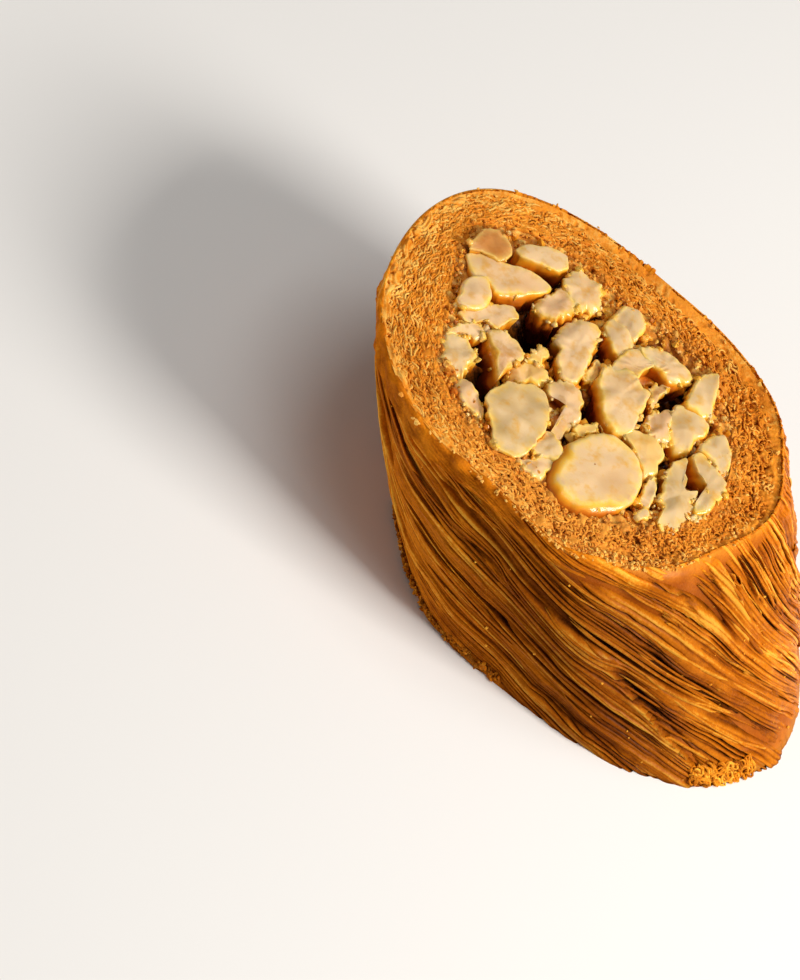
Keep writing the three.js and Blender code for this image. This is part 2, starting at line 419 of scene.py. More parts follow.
def mix_colours(tree, factor, a, b, mode="MIX"):
    """A Mix node for colours: factor 0 gives a, 1 gives b."""
    node = tree.nodes.new("ShaderNodeMix")
    node.data_type = "RGBA"
    node.blend_type = mode
    for index, value in ((0, factor), (6, a), (7, b)):
        if isinstance(value, bpy.types.NodeSocket):
            tree.links.new(value, node.inputs[index])
        else:
            node.inputs[index].default_value = value
    return node.outputs[2]


def math_node(tree, operation, a, b=0.0, clamp=False):
    """A Math node on two values or outputs."""
    node = tree.nodes.new("ShaderNodeMath")
    node.operation = operation
    node.use_clamp = clamp
    for index, value in ((0, a), (1, b)):
        if isinstance(value, bpy.types.NodeSocket):
            tree.links.new(value, node.inputs[index])
        else:
            node.inputs[index].default_value = value
    return node.outputs[0]


def map_range(tree, value, low, high):
    """Takes low to 0 and high to 1, smoothly."""
    node = tree.nodes.new("ShaderNodeMapRange")
    node.interpolation_type = "SMOOTHSTEP"
    tree.links.new(value, node.inputs["Value"])
    node.inputs["From Min"].default_value = low
    node.inputs["From Max"].default_value = high
    return node.outputs["Result"]


def ramp(tree, factor, stops):
    """A colour ramp from a list of (place, colour)."""
    node = tree.nodes.new("ShaderNodeValToRGB")
    tree.links.new(factor, node.inputs[0])
    elements = node.color_ramp.elements
    while len(elements) < len(stops):
        elements.new(0.5)
    for element, (place, colour) in zip(elements, stops):
        element.position = place
        element.color = (*colour, 1)
    return node.outputs["Color"]


def blotch_group():
    """Noise at three sizes on Object coordinates: broad clouds, millimetre spots and fine grain."""
    group = bpy.data.node_groups.new("baked_blotches", "ShaderNodeTree")
    group.interface.new_socket("Size", in_out="INPUT", socket_type="NodeSocketFloat")
    for name in ("Clouds", "Spots", "Grain"):
        group.interface.new_socket(name, in_out="OUTPUT", socket_type="NodeSocketFloat")
    start = group.nodes.new("NodeGroupInput")
    end = group.nodes.new("NodeGroupOutput")
    where = group.nodes.new("ShaderNodeTexCoord").outputs["Object"]
    for name, factor, detail in (("Clouds", 0.2, 2.0), ("Spots", 1.0, 3.0), ("Grain", 5.0, 4.0)):
        scale = math_node(group, "MULTIPLY", start.outputs["Size"], factor)
        noise = add_node(group, "ShaderNodeTexNoise", Vector=where, Scale=scale, Detail=detail,
                         Roughness=0.6)
        group.links.new(noise.outputs["Fac"], end.inputs[name])
    return group


BLOTCHES = blotch_group()
NOISE_PER_METRE = 700.0


def new_material(name):
    """A material, its tree and shader, and the outputs of the shared blotches."""
    material = bpy.data.materials.new(name)
    material.use_nodes = True
    tree = material.node_tree
    blotches = tree.nodes.new("ShaderNodeGroup")
    blotches.node_tree = BLOTCHES
    blotches.inputs["Size"].default_value = NOISE_PER_METRE
    return material, tree, tree.nodes["Principled BSDF"], blotches.outputs


def attribute(tree, name):
    """The value that the mesh carries under this name."""
    node = tree.nodes.new("ShaderNodeAttribute")
    node.attribute_name = name
    return node.outputs["Fac"]


def centred(tree, value, width):
    """(value - 0.5) * width: a value from 0 to 1 now swings about 0."""
    return math_node(tree, "MULTIPLY", math_node(tree, "SUBTRACT", value, 0.5), width)


def grainy_surface(tree, shader, grain, rough, strength, distance):
    """Roughness that follows the grain between two limits, and the grain as a bump."""
    roughness = tree.nodes.new("ShaderNodeMapRange")
    tree.links.new(grain, roughness.inputs["Value"])
    roughness.inputs["To Min"].default_value = rough[0]
    roughness.inputs["To Max"].default_value = rough[1]
    tree.links.new(roughness.outputs["Result"], shader.inputs["Roughness"])
    bump = add_node(tree, "ShaderNodeBump", Strength=strength, Distance=distance, Height=grain)
    tree.links.new(bump.outputs["Normal"], shader.inputs["Normal"])


# %% Pastry materials
def pastry_material(name, colours, roughness, coat):
    """Pastry: painted light and shade picks dark to pale, tone shifts each strand, spots make it uneven,
    and a painted shade value darkens it further.
    """
    dark, middle, bright, pale = colours
    material, tree, shader, noise = new_material(name)
    spots = centred(tree, noise["Spots"], 0.45)
    tone = centred(tree, attribute(tree, "tone"), 0.5)
    grain = centred(tree, noise["Grain"], 0.5)
    lift = math_node(tree, "ADD", math_node(tree, "ADD", spots, grain), tone)
    height = math_node(tree, "ADD", attribute(tree, "crest"), lift, clamp=True)
    colour = ramp(tree, height, [(0.0, dark), (0.4, middle), (0.8, bright), (1.0, pale)])
    clouds = map_range(tree, noise["Clouds"], 0.35, 0.7)
    cloud_tint = mix_colours(tree, clouds, (0.84, 0.74, 0.62, 1), (1.05, 1.05, 1.05, 1))
    colour = mix_colours(tree, 1.0, colour, cloud_tint, "MULTIPLY")
    colour = mix_colours(tree, attribute(tree, "tip"), colour, (*pale, 1))
    # painted shade: this value darkens the colour along the wall's front and inside the pastry, and browns
    # the torn-foot crumbs at random
    shade_and_browning_tint = mix_colours(tree, attribute(tree, "bake"), (1, 1, 1, 1), (0.42, 0.36, 0.32, 1))
    colour = mix_colours(tree, 1.0, colour, shade_and_browning_tint, "MULTIPLY")
    tree.links.new(colour, shader.inputs["Base Color"])
    grainy_surface(tree, shader, noise["Grain"], (roughness - 0.12, roughness + 0.18), 0.5, 0.00018)
    set_inputs(shader, {
        "Specular IOR Level": 0.03, "Specular Tint": (1.0, 0.62, 0.25, 1),
        "Coat Tint": (1.0, 0.85, 0.6, 1), "Coat Weight": coat, "Coat Roughness": 0.25,
        "Subsurface Weight": 0.06, "Subsurface Radius": (1.0, 0.35, 0.08), "Subsurface Scale": 0.0012,
    })
    return material


# colours from painted shade in the grooves to painted light on the crests
WALL_COLOURS = [(0.035, 0.006, 0.0004), (0.35, 0.088, 0.003), (0.74, 0.228, 0.008), (0.93, 0.46, 0.05)]
RING_COLOURS = [(0.37, 0.092, 0.007), (0.57, 0.165, 0.011), (0.82, 0.30, 0.028), (0.90, 0.52, 0.12)]
WALL = pastry_material("baked_strands", WALL_COLOURS, 0.36, 0.03)
RING = pastry_material("cut_strand_ends", RING_COLOURS, 0.42, 0.06)
print("pastry materials made")

# %% [markdown]
# ## The wall of wound strands
# The wall is one fine skin whose columns follow the winding, so whatever runs along a strand needs
# few points along it. Three things make its relief. Layers of dough overlap like shingles, and each
# rises gently and drops off a thin edge. Single strands draw fine lines on the layers. And a few
# creases have opened into valleys with a lifted edge. Those that show are placed by their two
# ends on the photograph, and the others are drawn at random round the back. The colour is painted
# light where the skin stands high and along thin edges, and painted shade in grooves and creases.

# %% From the photograph to the wall
SENSOR_MM = 36
IMAGE_HEIGHT = 980
PIXELS_PER_UNIT = LENS_MM / SENSOR_MM * IMAGE_HEIGHT
IMAGE_CENTRE = (400, 490)
AXIS_LENGTH = math.hypot(LEAN, HEIGHT)
# how far apart on the wall, in mm, strands are whose winding numbers differ by 1
WOUND_MM = 1 / math.hypot(1 / AXIS_LENGTH, WIND / UPPER["wide"]) / MM


def to_photo(points):
    """Where the camera sees points, in pixels of the 800 by 980 photograph."""
    off = points - (LOOK_AT + LOOK_DISTANCE * BACK)
    far = -(off @ BACK)
    return np.stack([IMAGE_CENTRE[0] + PIXELS_PER_UNIT * (off @ RIGHT) / far,
                     IMAGE_CENTRE[1] - PIXELS_PER_UNIT * (off @ UP) / far], -1)


VISIBLE_ANGLES, VISIBLE_LEVELS = np.meshgrid(np.radians(np.arange(215, 385, 0.5)), np.linspace(0, 1, 120))
VISIBLE_AT = to_photo(roll_point(VISIBLE_ANGLES, 1, VISIBLE_LEVELS, belly(VISIBLE_LEVELS)))


def on_wall_at(pixel):
    """Angle and level of the wall at a pixel: the nearest of a grid of points on its front."""
    nearest = np.argmin(np.linalg.norm(VISIBLE_AT - pixel, axis=-1))
    return VISIBLE_ANGLES.ravel()[nearest], VISIBLE_LEVELS.ravel()[nearest]


# %% Creases
# two ends on the photograph, depth in mm, and width in mm of the gentle side: it lies to the upper
# right of the line, or to the lower left where the width is below zero
FRONT_CREASES = {
    "central": ((514, 582), (762, 724), 1.5, 1.5), "central_left": ((456, 545), (505, 578), 0.9, 0.8),
    "under_rim": ((626, 578), (744, 645), 0.7, -0.5), "lip_under": ((416, 462), (530, 566), 0.9, -0.6),
    "flap": ((606, 668), (708, 782), 1.9, 2.4),
    "band": ((560, 672), (672, 752), 1.2, -1.2), "low_left": ((470, 600), (560, 676), 0.7, 1.2),
    "left_tear": ((436, 462), (462, 520), 0.9, 0.8), "left_streak": ((402, 500), (480, 612), 0.5, 1.4),
    "rim_left": ((520, 540), (640, 604), 0.7, -0.5), "upper_band": ((560, 566), (700, 650), 0.7, 0.6),
    "fan_1": ((716, 553), (754, 622), 1.0, 0.4), "fan_2": ((699, 562), (724, 598), 0.9, 0.4),
    "fan_3": ((736, 551), (764, 612), 1.0, -0.4), "fan_4": ((751, 541), (784, 602), 1.0, 0.5),
    "fan_5": ((685, 569), (730, 608), 1.1, 0.4), "fan_6": ((666, 582), (702, 622), 1.0, 0.4),
    "maroon": ((662, 586), (742, 645), 2.2, 0.9), "low_band": ((640, 655), (760, 745), 1.6, 1.0),
    "rim_gap": ((612, 561), (652, 586), 1.0, 0.5), "right_low": ((690, 632), (792, 700), 1.0, -1.0),
    "low_right": ((640, 655), (784, 742), 0.9, -1.4), "foot": ((500, 668), (640, 764), 0.6, 1.6),
    "corner_1": ((700, 716), (780, 752), 0.8, 0.7),
    "corner_2": ((722, 688), (794, 722), 0.7, -0.7), "corner_3": ((740, 752), (776, 764), 0.5, 0.5),
}
BACK_CREASES = 26
# how high a crease's thin edge stands, as a share of its depth
EDGE_LIFT = 0.45


def all_creases():
    """Angle and winding number of both ends, depth and width, of every crease."""
    creases = []
    for start, end, depth, width in FRONT_CREASES.values():
        ends = [on_wall_at(start), on_wall_at(end)]
        creases.append((*[(angle, winding(angle, level)) for angle, level in ends], depth, width))
    draw = np.random.default_rng(6)
    for angle in np.radians(np.linspace(22, 228, BACK_CREASES)) + draw.uniform(-0.08, 0.08, BACK_CREASES):
        wound = winding(angle, draw.uniform(0.15, 0.9))
        length = draw.uniform(0.2, 0.6)
        ends = (angle - length / 2, wound + draw.normal(0, 0.02)), (angle + length / 2, wound)
        creases.append((*ends, draw.uniform(0.5, 1.5), draw.choice([-1, 1]) * draw.uniform(0.8, 2.2)))
    return creases


CREASES = all_creases()


def creased(wound, level):
    """How deep creases cut in and how far their thin edges stand up, both in mm."""
    angle = strand_angle(wound, level)
    cut, lifted = np.zeros_like(angle), np.zeros_like(angle)
    for (angle_0, wound_0), (angle_1, wound_1), depth, width in CREASES:
        half = (angle_1 - angle_0) / 2
        off = np.mod(angle - angle_0 - half + math.pi, TAU) - math.pi
        along = off / half
        centre = (wound_0 + wound_1) / 2 + along * (wound_1 - wound_0) / 2
        away = np.mod(wound - centre + ROUND / 2, ROUND) - ROUND / 2
        across = away * WOUND_MM * math.copysign(1, width)
        strength = depth * np.clip(1 - along**2, 0, 1)
        gentle = np.exp(-np.clip(across, 0, None) / abs(width)) * smoothstep(across, -0.22, 0.05)
        edge = np.exp(-np.clip(-across - 0.2, 0, None) / 1.6) * smoothstep(across, 0.0, -0.3)
        cut += strength * gentle
        lifted = np.maximum(lifted, EDGE_LIFT * strength * edge)
    return cut, lifted


# %% Layers and strands
STRANDS = 190
# how many layers, their height in mm and the seed of their widths
LAYERS = ((13, 0.55, 21), (31, 0.6, 22), (67, 0.42, 23))
# how far the skin lies under the smooth wall, and the limits of its height, all in mm
SKIN_DEPTH = 0.85
RELIEF_LIMITS = (-2.6, 0.35)


def uneven_steps(wound, count, least, seed):
    """Splits the way round into uneven steps: the step's number, how far across it a point is, from
    0 to 1, and its width in mm."""
    widths = np.random.default_rng(seed).uniform(least, 2 - least, count)
    borders = np.concatenate([[0], np.cumsum(widths)]) / widths.sum() * ROUND
    place = np.mod(wound, ROUND)
    step = np.clip(np.searchsorted(borders, place, side="right") - 1, 0, count - 1)
    width = np.diff(borders)[step]
    return step, (place - borders[step]) / width, width * WOUND_MM


def layer_relief(wound, level, count, rise, seed):
    """Height in mm of overlapping layers, how near each point is to a thin edge, and their tone.

    A layer's height grows with how far across it one is, to the power 1.4, then drops in 0.3 mm."""
    draw = np.random.default_rng(seed)
    turns = wound / WIND
    strayed = wound + 0.035 * np.sin(3 * turns + 4 * level + seed) + 0.02 * np.sin(8 * turns - 6 * level)
    step, across, width = uneven_steps(strayed, count, 0.35, seed)
    across = np.where(draw.random(count)[step] < 0.4, 1 - across, across)
    swing = 0.6 + 0.4 * np.sin(4 * level + draw.uniform(0, TAU, count)[step])
    amount = draw.uniform(0.3, 1, count)[step] * swing
    to_edge = (1 - across) * width
    shape = across**1.4 * smoothstep(to_edge, 0, 0.3)
    return rise * amount * shape, amount * np.exp(-(((to_edge - 0.3) / 0.2) ** 2)), draw.random(count)[step]


def strand_relief(wound, level):
    """Height in mm of single strands, the grooves between them, and their tone."""
    draw = np.random.default_rng(3)
    strayed = wound + 0.012 * np.sin(5 * wound / WIND + 9 * level)
    step, across, width = uneven_steps(strayed, STRANDS, 0.3, 5)
    own_rise, phase = draw.uniform(0.05, 0.2, STRANDS), draw.uniform(0, TAU, STRANDS)
    height = own_rise[step] * np.sqrt(1 - (2 * across - 1) ** 2)
    border = (step + (across > 0.5)) % STRANDS
    off = np.minimum(across, 1 - across) * width
    depth = np.minimum(0.1 + draw.gamma(0.8, 0.26, STRANDS), 0.9)[border]
    depth = depth * np.clip(0.6 + np.sin(6 * level + phase[border]), 0.15, 1.2)
    return height, depth * np.exp(-((off / 0.11) ** 2)), draw.random(STRANDS)[step]


def wall_relief(wound, level):
    """Height of the skin over the smooth wall, its painted light and shade, and its tone.

    The height is layers, strand and lifted edges less grooves and creases. The colour is painted light
    where the skin stands high, with painted highlights on thin and lifted edges, and painted shade in
    grooves and creases; the left end is painted lighter."""
    layers, edges, layer_tones = zip(*(layer_relief(wound, level, *layer) for layer in LAYERS))
    strand, groove, strand_tone = strand_relief(wound, level)
    cut, lifted = creased(wound, level)
    angle = strand_angle(wound, level)
    # at the right, near the rim, the strands fan out and stand clear of each other; at the left
    # syrup has stuck them together
    apart = 1 + 1.3 * near(angle, 345, 24) * smoothstep(level, 0.6, 0.9) - 0.45 * near(angle, 222, 32)
    groove, strand = groove * apart, strand * apart
    height = sum(layers) + strand + lifted - SKIN_DEPTH - groove - cut
    # painted light and shade: bright where the skin stands high and on thin and lifted edges, dark in
    # grooves and creases, lighter at the left end
    crest = 0.60 + 0.25 * (sum(layers) - 0.65) + 1.2 * strand + 0.28 * sum(edges) + 0.6 * lifted
    crest = (crest - np.minimum(2.0 * groove, 0.6)) * (1 - 0.82 * np.minimum(cut, 1))
    crest = crest + 0.16 * near(angle, 225, 28)
    tone = 0.55 * strand_tone + 0.15 * sum(layer_tones)
    return np.clip(height, *RELIEF_LIMITS) * MM, np.clip(crest, 0, 1), tone


def baked_brown(angle, level):
    """Painted shade on the wall, from 0 to 1: most along the front, less towards the lip and the right
    end, and little at the left and round the back."""
    high = smoothstep(level, 0.5, 0.8)
    front = np.clip(0.1 * near(angle, 232, 20) + 0.9 * near(angle, 292, 22), 0, 1)
    front = (0.2 - 0.17 * near(angle, 212, 25) + 0.8 * front) * (1 - 0.5 * smoothstep(level, 0.72, 0.95))
    front = front * (1 - 0.5 * near(angle, 350, 30)) + 0.25 * near(angle, 332, 18) * high
    return front + 0.22 * near(angle, 330, 22) * (1 - high)


def lip_calm(angle):
    """How far the rim is pressed smooth: wholly at the left and front, little at the right."""
    return np.clip(1.6 * near(angle, 244, 32) + 0.4 * near(angle, 150, 30), 0, 1)


def overhang(angle):
    """How far the lip at the front left stands out over the wall below it."""
    return 0.55 * np.clip(near(angle, 250, 16) + near(angle, 290, 16), 0, 1) * MM


# %% Wall
WALL_COLUMNS = 1400
WALL_LEVELS = 52
LIP_ROWS = 9
LIP_HEIGHT = 1.9 * MM
LIP_LEVEL = 1 - LIP_HEIGHT / HEIGHT
WOUND = ROUND * np.arange(WALL_COLUMNS) / WALL_COLUMNS
# how much of the strands' relief is lost where the lip is pressed
PRESSED_FLAT = 0.93
INSIDE_SHADE_AND_TONE = 0.35


def lumps(points):
    """Gentle unevenness in metres of the pressed lip."""
    return (0.12 * ripple(points, 3.4 * MM, 7) + 0.09 * ripple(points, 1.3 * MM, 10)) * MM


def wall_rows():
    """Points, painted light and tone, and painted shade of the wall, from its foot up to the lip."""
    w, s = np.meshgrid(WOUND, np.linspace(0, 1, WALL_LEVELS) * LIP_LEVEL)
    height, crest, tone = wall_relief(w, s)
    angle = strand_angle(w, s)
    calm = lip_calm(angle) * smoothstep(s, 0.87, 0.94)
    height = height * (1 - PRESSED_FLAT * calm) * (0.5 + 0.5 * smoothstep(s, 0.0, 0.035))
    height = height - overhang(angle) * (1 - smoothstep(s, 0.885, 0.92)) * smoothstep(s, 0.55, 0.85)
    # painted light: the pressed lip is painted lighter towards the left end
    crest = crest + (0.54 + 0.26 * near(angle, 182, 22) - crest) * 0.85 * calm
    tone = tone + (0.55 - tone) * 0.9 * calm
    smooth_wall = roll_point(angle, 1, s, height + belly(s))
    rough = (0.05 * ripple(smooth_wall, 2.2 * MM, 5) + 0.14 * ripple(smooth_wall, 7 * MM, 6)) * MM
    points = roll_point(angle, 1, s, height + belly(s) + rough + lumps(smooth_wall) * calm)
    return points, crest, tone, baked_brown(angle, s) * (1 - calm)


def lip_rows():
    """The same of the rounded lip: a quarter of an oval over to the cut. Where it is pressed, lumps
    and faint rings take the place of the strands, and its painted light is stronger towards the left end."""
    w, t = np.meshgrid(WOUND, np.linspace(0, 1, LIP_ROWS)[1:] * math.pi / 2)
    level = LIP_LEVEL + (1 - LIP_LEVEL) * np.sin(t)
    angle = strand_angle(w, level)
    calm = lip_calm(angle)
    relief, crest, tone = wall_relief(w, level)
    out = relief * (1 - PRESSED_FLAT * calm) * np.cos(t) ** 0.4 - lip_size(angle) * (1 - np.cos(t))
    points = roll_point(angle, 1, 1.0, out)
    lump = lumps(points) * calm
    points = roll_point(angle, 1, 1.0, out + lump * np.cos(t))
    points[..., 0] += LEAN * (1 - level)
    risen = np.clip(0.9 * (relief + 0.7 * MM), -0.9 * MM, 0.3 * MM) * (1 - calm)
    points[..., 2] -= LIP_HEIGHT * (1 - np.sin(t)) - (0.7 * lump + risen) * np.sin(t)
    rings = np.sin(7 * t + 1.5 * ripple(points, 5 * MM, 8)) * np.sin(t)
    pressed = 0.52 + 0.42 * near(angle, 182, 22) + 0.07 * rings + 0.10 * ripple(points, 1.6 * MM, 9)
    return points, crest + (pressed - crest) * calm, tone + (0.6 - tone) * calm, 0 * t


def inside_rows(lip_crest):
    """The same from under the lip, whose painted light carries on there, down inside the pastry, which gets
    an even painted shade.
    """
    angle = strand_angle(WOUND, 1.0)
    under_lip = roll_point(angle, 1, 1.0, -lip_size(angle) - 0.5 * MM)
    under_lip[:, 2] -= 0.9 * MM
    steps = [roll_point(strand_angle(WOUND, level), 0.85, level) for level in np.linspace(0.92, 0.06, 8)]
    foot_ring = roll_point(strand_angle(WOUND, 0.0), 0.90, 0.0)
    foot_ring[:, 2] += 0.35 * MM
    points = np.stack([under_lip, *steps, foot_ring])
    flat = np.full(points.shape[:2], INSIDE_SHADE_AND_TONE)
    crest = flat.copy()
    crest[0] = 0.9 * lip_crest
    return points, crest, flat, flat


wall, lip = wall_rows(), lip_rows()
inside = inside_rows(lip[1][-1])
points, *values = [np.concatenate(parts) for parts in zip(wall, lip, inside)]
crest, tone, bake = [np.clip(value, 0, 1) for value in values]
off_floor(points)
make_piece("wound_wall", points.reshape(-1, 3), [grid_quads(*points.shape[:2], closed_rows=True)], WALL,
           "pastry", "kataifi_pastry", crest=crest, tone=tone, bake=bake)

# %% [markdown]
# ## Loose and broken strands
# Over the skin lie separate strands: some run the whole height, others break off part of the way
# and show a pale, torn end. They are flattened tubes that follow the same winding as the skin, sunk
# into it along most of their length, so that the wall reads as many strands and not as one piece.

# %% Loose strands
STRAND_SIDES = 6
BROKEN_SHARE = 0.45
SUNK_END = 0.3 * MM
HIGHEST_LIFT = 0.3 * MM


def loose_strands(count, steps, lengths, widths, proud, seed):
    """Paths of strands over the wall: each keeps its own middle angle, strays a little sideways,
    rises out of the skin in its middle and sinks at its ends unless they are broken."""
    draw = np.random.default_rng(seed)
    wound = draw.uniform(0, ROUND, count)[:, None]
    length = draw.uniform(*lengths, count)[:, None]
    start = draw.uniform(0.0, 1.0, count)[:, None] * (0.93 - length)
    t = np.linspace(0, 1, steps)[None, :]
    level = start + 0.01 + length * t
    bends, phase = draw.uniform(0.5, 1.5, (count, 1)), draw.uniform(0, TAU, (count, 1))
    wound = wound + draw.normal(0, 0.012, (count, 1)) * np.sin(TAU * t * bends + phase)
    angle = strand_angle(wound, level)
    skin_height, _, _ = wall_relief(wound, level)
    smooth_skin = (skin_height + np.roll(skin_height, 1, 1) + np.roll(skin_height, -1, 1)) / 3
    smooth_skin[:, 0], smooth_skin[:, -1] = skin_height[:, 0], skin_height[:, -1]
    broken = draw.random((count, 1)) < BROKEN_SHARE
    start_sink = smoothstep(t, 0.0, 0.12)
    end_sink = np.where(broken, 1.0, smoothstep(1 - t, 0.0, 0.12))
    over = draw.uniform(*proud, (count, 1)) * MM * start_sink * end_sink
    over = over - SUNK_END * (1 - start_sink * end_sink)
    lift = np.minimum(np.clip(smooth_skin, -0.9 * MM, 0.4 * MM) + over, HIGHEST_LIFT)
    path = roll_point(angle, 1, level, belly(level) + lift)
    outward = roll_point(angle, 1, level, belly(level) + lift + MM) - path
    outward /= np.linalg.norm(outward, axis=2, keepdims=True)
    width = draw.uniform(*widths, (count, 1)) * MM
    width = width * (1 + 0.18 * np.sin(9 * t + draw.uniform(0, TAU, (count, 1))))
    width = width * (0.2 + 0.8 * smoothstep(t, 0, 0.12)) * (0.25 + 0.75 * smoothstep(1 - t, 0, 0.1))
    depth = width * 0.7
    tip = np.where(broken, smoothstep(t, 0.88, 1.0), 0.0) * draw.uniform(0.1, 0.6, (count, 1))
    return path, outward, width, depth, tip, draw.random(count), baked_brown(angle, level)


def strands_piece(name, count, steps, lengths, widths, proud, seed):
    """Joins the strands into one piece, with painted light on their outer side and painted shade where they
    touch.
    """
    path, outward, width, depth, tip, tone, bake = loose_strands(count, steps, lengths, widths, proud, seed)
    points, faces = tubes(path, outward, width, depth, STRAND_SIDES)
    off_floor(points)
    around = np.sin(TAU * np.arange(STRAND_SIDES) / STRAND_SIDES)
    crest = np.broadcast_to(0.52 + 0.25 * around, (count, steps, STRAND_SIDES))
    make_piece(name, points, faces, WALL, "pastry", "kataifi_pastry", crest=crest,
               tone=spread(tone, steps, STRAND_SIDES), tip=np.repeat(tip.ravel(), STRAND_SIDES),
               bake=np.repeat(bake.ravel(), STRAND_SIDES))


strands_piece("long_strands", 90, 60, (0.4, 0.92), (0.3, 0.6), (-0.14, 0.06), 11)
strands_piece("short_strands", 150, 24, (0.08, 0.4), (0.25, 0.5), (-0.08, 0.1), 12)

# %% [markdown]
# ## The two cut ends of the pastry
# A knife went through hundreds of strands, so each end is a dense, crumbly ring: wavy layers at the
# left, where the strands lie along the cut, and small cells at the right, where they stand across
# it. The ring is a grid with that relief. The curls and squiggles that stand on it come after.

# %% Cut ends
END_COLUMNS = 1000
END_ROWS = 60
END_SINK = 0.3
# for the upper and the lower cut: the share of the ring over which it sinks, and how far under the
# cut it starts, in mm; the lower one starts deeper in and keeps off the floor, with the wall's foot
# round it
SINK_SHARE = {1: 0.4, -1: 0.1}
START_DEPTH = {1: 0.08, -1: 0.3}
# depths in mm of the rows down the ring's bore, and share drawn in and depth of those back up
BORE_DEPTHS = (1.2, 3.0, 5.5, 8.0)
BACK_ROWS = ((0.02, 8.0), (0.01, 2.0))


def layered(angle):
    """1 where the cut shows strands lengthways, at the left end, and 0 where it shows their ends."""
    return np.clip(near(angle, 195, 42) + 0.4 * near(angle, 120, 35) + 0.3 * near(angle, 265, 20), 0, 1)


def end_relief(points, angle, out_mm):
    """Height in mm and painted light and shade of the ring: layers that follow the rim, cells, lumps, and
    pores painted dark as shade.
    """
    stray = 0.55 * ripple(points, 6 * MM, 21) + 0.28 * ripple(points, 2.2 * MM, 22)
    layers = np.abs(np.sin(math.pi * (out_mm / 0.75 + stray)))
    bumps = np.clip(1.6 * cells(points, 0.85 * MM, 25), 0, 1)
    share = layered(angle)
    fine = share * layers + (1 - share) * bumps**0.7
    lumps = ripple(points, 2.6 * MM, 23)
    pores = smoothstep(ripple(points, 1.2 * MM, 24) + 0.3 * ripple(points, 4 * MM, 26), 0.9, 1.5)
    return 0.17 * fine + 0.13 * lumps - 0.5 * pores, np.clip(0.64 + 0.22 * fine - 0.5 * pores, 0, 1)


def glazed_margin(angle):
    """How wide, in mm, the smooth glazed border of a cut is: widest at the upper right."""
    return 0.3 + 1.7 * near(angle, 78, 38)


def cut_end(name, level, way):
    """A ring at the upper (way 1) or lower (way -1) cut: across it, down its bore and back."""
    angle = TAU * np.arange(END_COLUMNS) / END_COLUMNS
    reach = np.hypot(*rim(CUTS[way], angle))
    outer = 1 - (lip_size(angle) - 0.25 * MM) / reach
    inner = filling_share(angle) - 0.03
    t = np.linspace(0, 1, END_ROWS)[:, None]
    share = outer + (inner - outer) * t
    a = np.broadcast_to(angle, share.shape)
    top = roll_point(a, share, level)
    out_mm = reach * (1 - share) / MM
    relief, crest = end_relief(top, a, out_mm)
    margin = glazed_margin(a)
    glaze = 0.7 * (1 - smoothstep(out_mm - lip_size(a) / MM, 0.6 * margin, 1.5 * margin))
    relief = relief * (1 - glaze)
    crest = crest + (0.76 - crest) * glaze
    sunk = END_SINK * smoothstep(t, 0.03, SINK_SHARE[way]) + 0.25 * np.sin(math.pi * t)
    top[..., 2] += way * MM * (relief * smoothstep(t, 0, 0.1) - sunk - START_DEPTH[way])
    bore = [roll_point(angle, inner, level - way * depth * MM / HEIGHT) for depth in BORE_DEPTHS]
    back = [roll_point(angle, outer - drawn_in, level - way * depth * MM / HEIGHT)
            for drawn_in, depth in BACK_ROWS]
    rest = np.stack(bore + back)
    points = np.concatenate([top, rest])
    off_floor(points)
    faces = grid_quads(*points.shape[:2], closed_rows=True)
    if way < 0:
        faces = faces[:, ::-1]
    # painted shade: the rows down the bore and back up are dark
    dark = np.full(rest.shape[:2], 0.2)
    # inwards the ring turns from orange to the browner, paler crumb next to the filling
    tone = 0.62 - 0.35 * t + 0.12 * near(a, 195, 50) - 0.15 * near(a, 340, 35)
    tone = tone + 0.1 * ripple(top, 5 * MM, 27)
    tip = 0.14 * smoothstep(t, 0.3, 1.0) * (1 - layered(a)) + 0.16 * near(a, 290, 25) + 0 * share
    make_piece(name, points.reshape(-1, 3), [faces], RING, "pastry", "kataifi_pastry",
               crest=np.concatenate([crest, dark]), tone=np.concatenate([tone, dark]),
               tip=np.concatenate([tip, 0 * dark]))


cut_end("upper_end", 1.0, 1)
cut_end("lower_end", 0.0, -1)

# %% [markdown]
# ## Strand ends on the cuts
# The cut strands stand a little out of the ring as short bent tubes. Where the knife ran along them
# they are squiggles that follow the rim; where it ran across them they are small hooks and curls.
# Each is a tube of a few sides, and all of one kind are one mesh worked out in a single go.

# %% Strand ends
CURL_STEPS = 7
CURL_SIDES = 5
# how far the tubes' middles lie over the sunk ring, in mm, and how far they keep off the floor
CURL_RISE = 0.05
CURL_FLOOR = 0.16 * MM


def random_places(draw, count, favoured):
    """Angles round the roll, drawn more often where the given weight of the angle is high."""
    angle = draw.uniform(0, TAU, 8 * count)
    kept = angle[draw.random(8 * count) < favoured(angle)]
    return kept[:count]


def curled(angle):
    """How often curls stand at an angle: less at the left end, at the front and at the upper right."""
    return 1 - 0.9 * layered(angle) - 0.6 * near(angle, 60, 30) - 0.4 * near(angle, 290, 20)


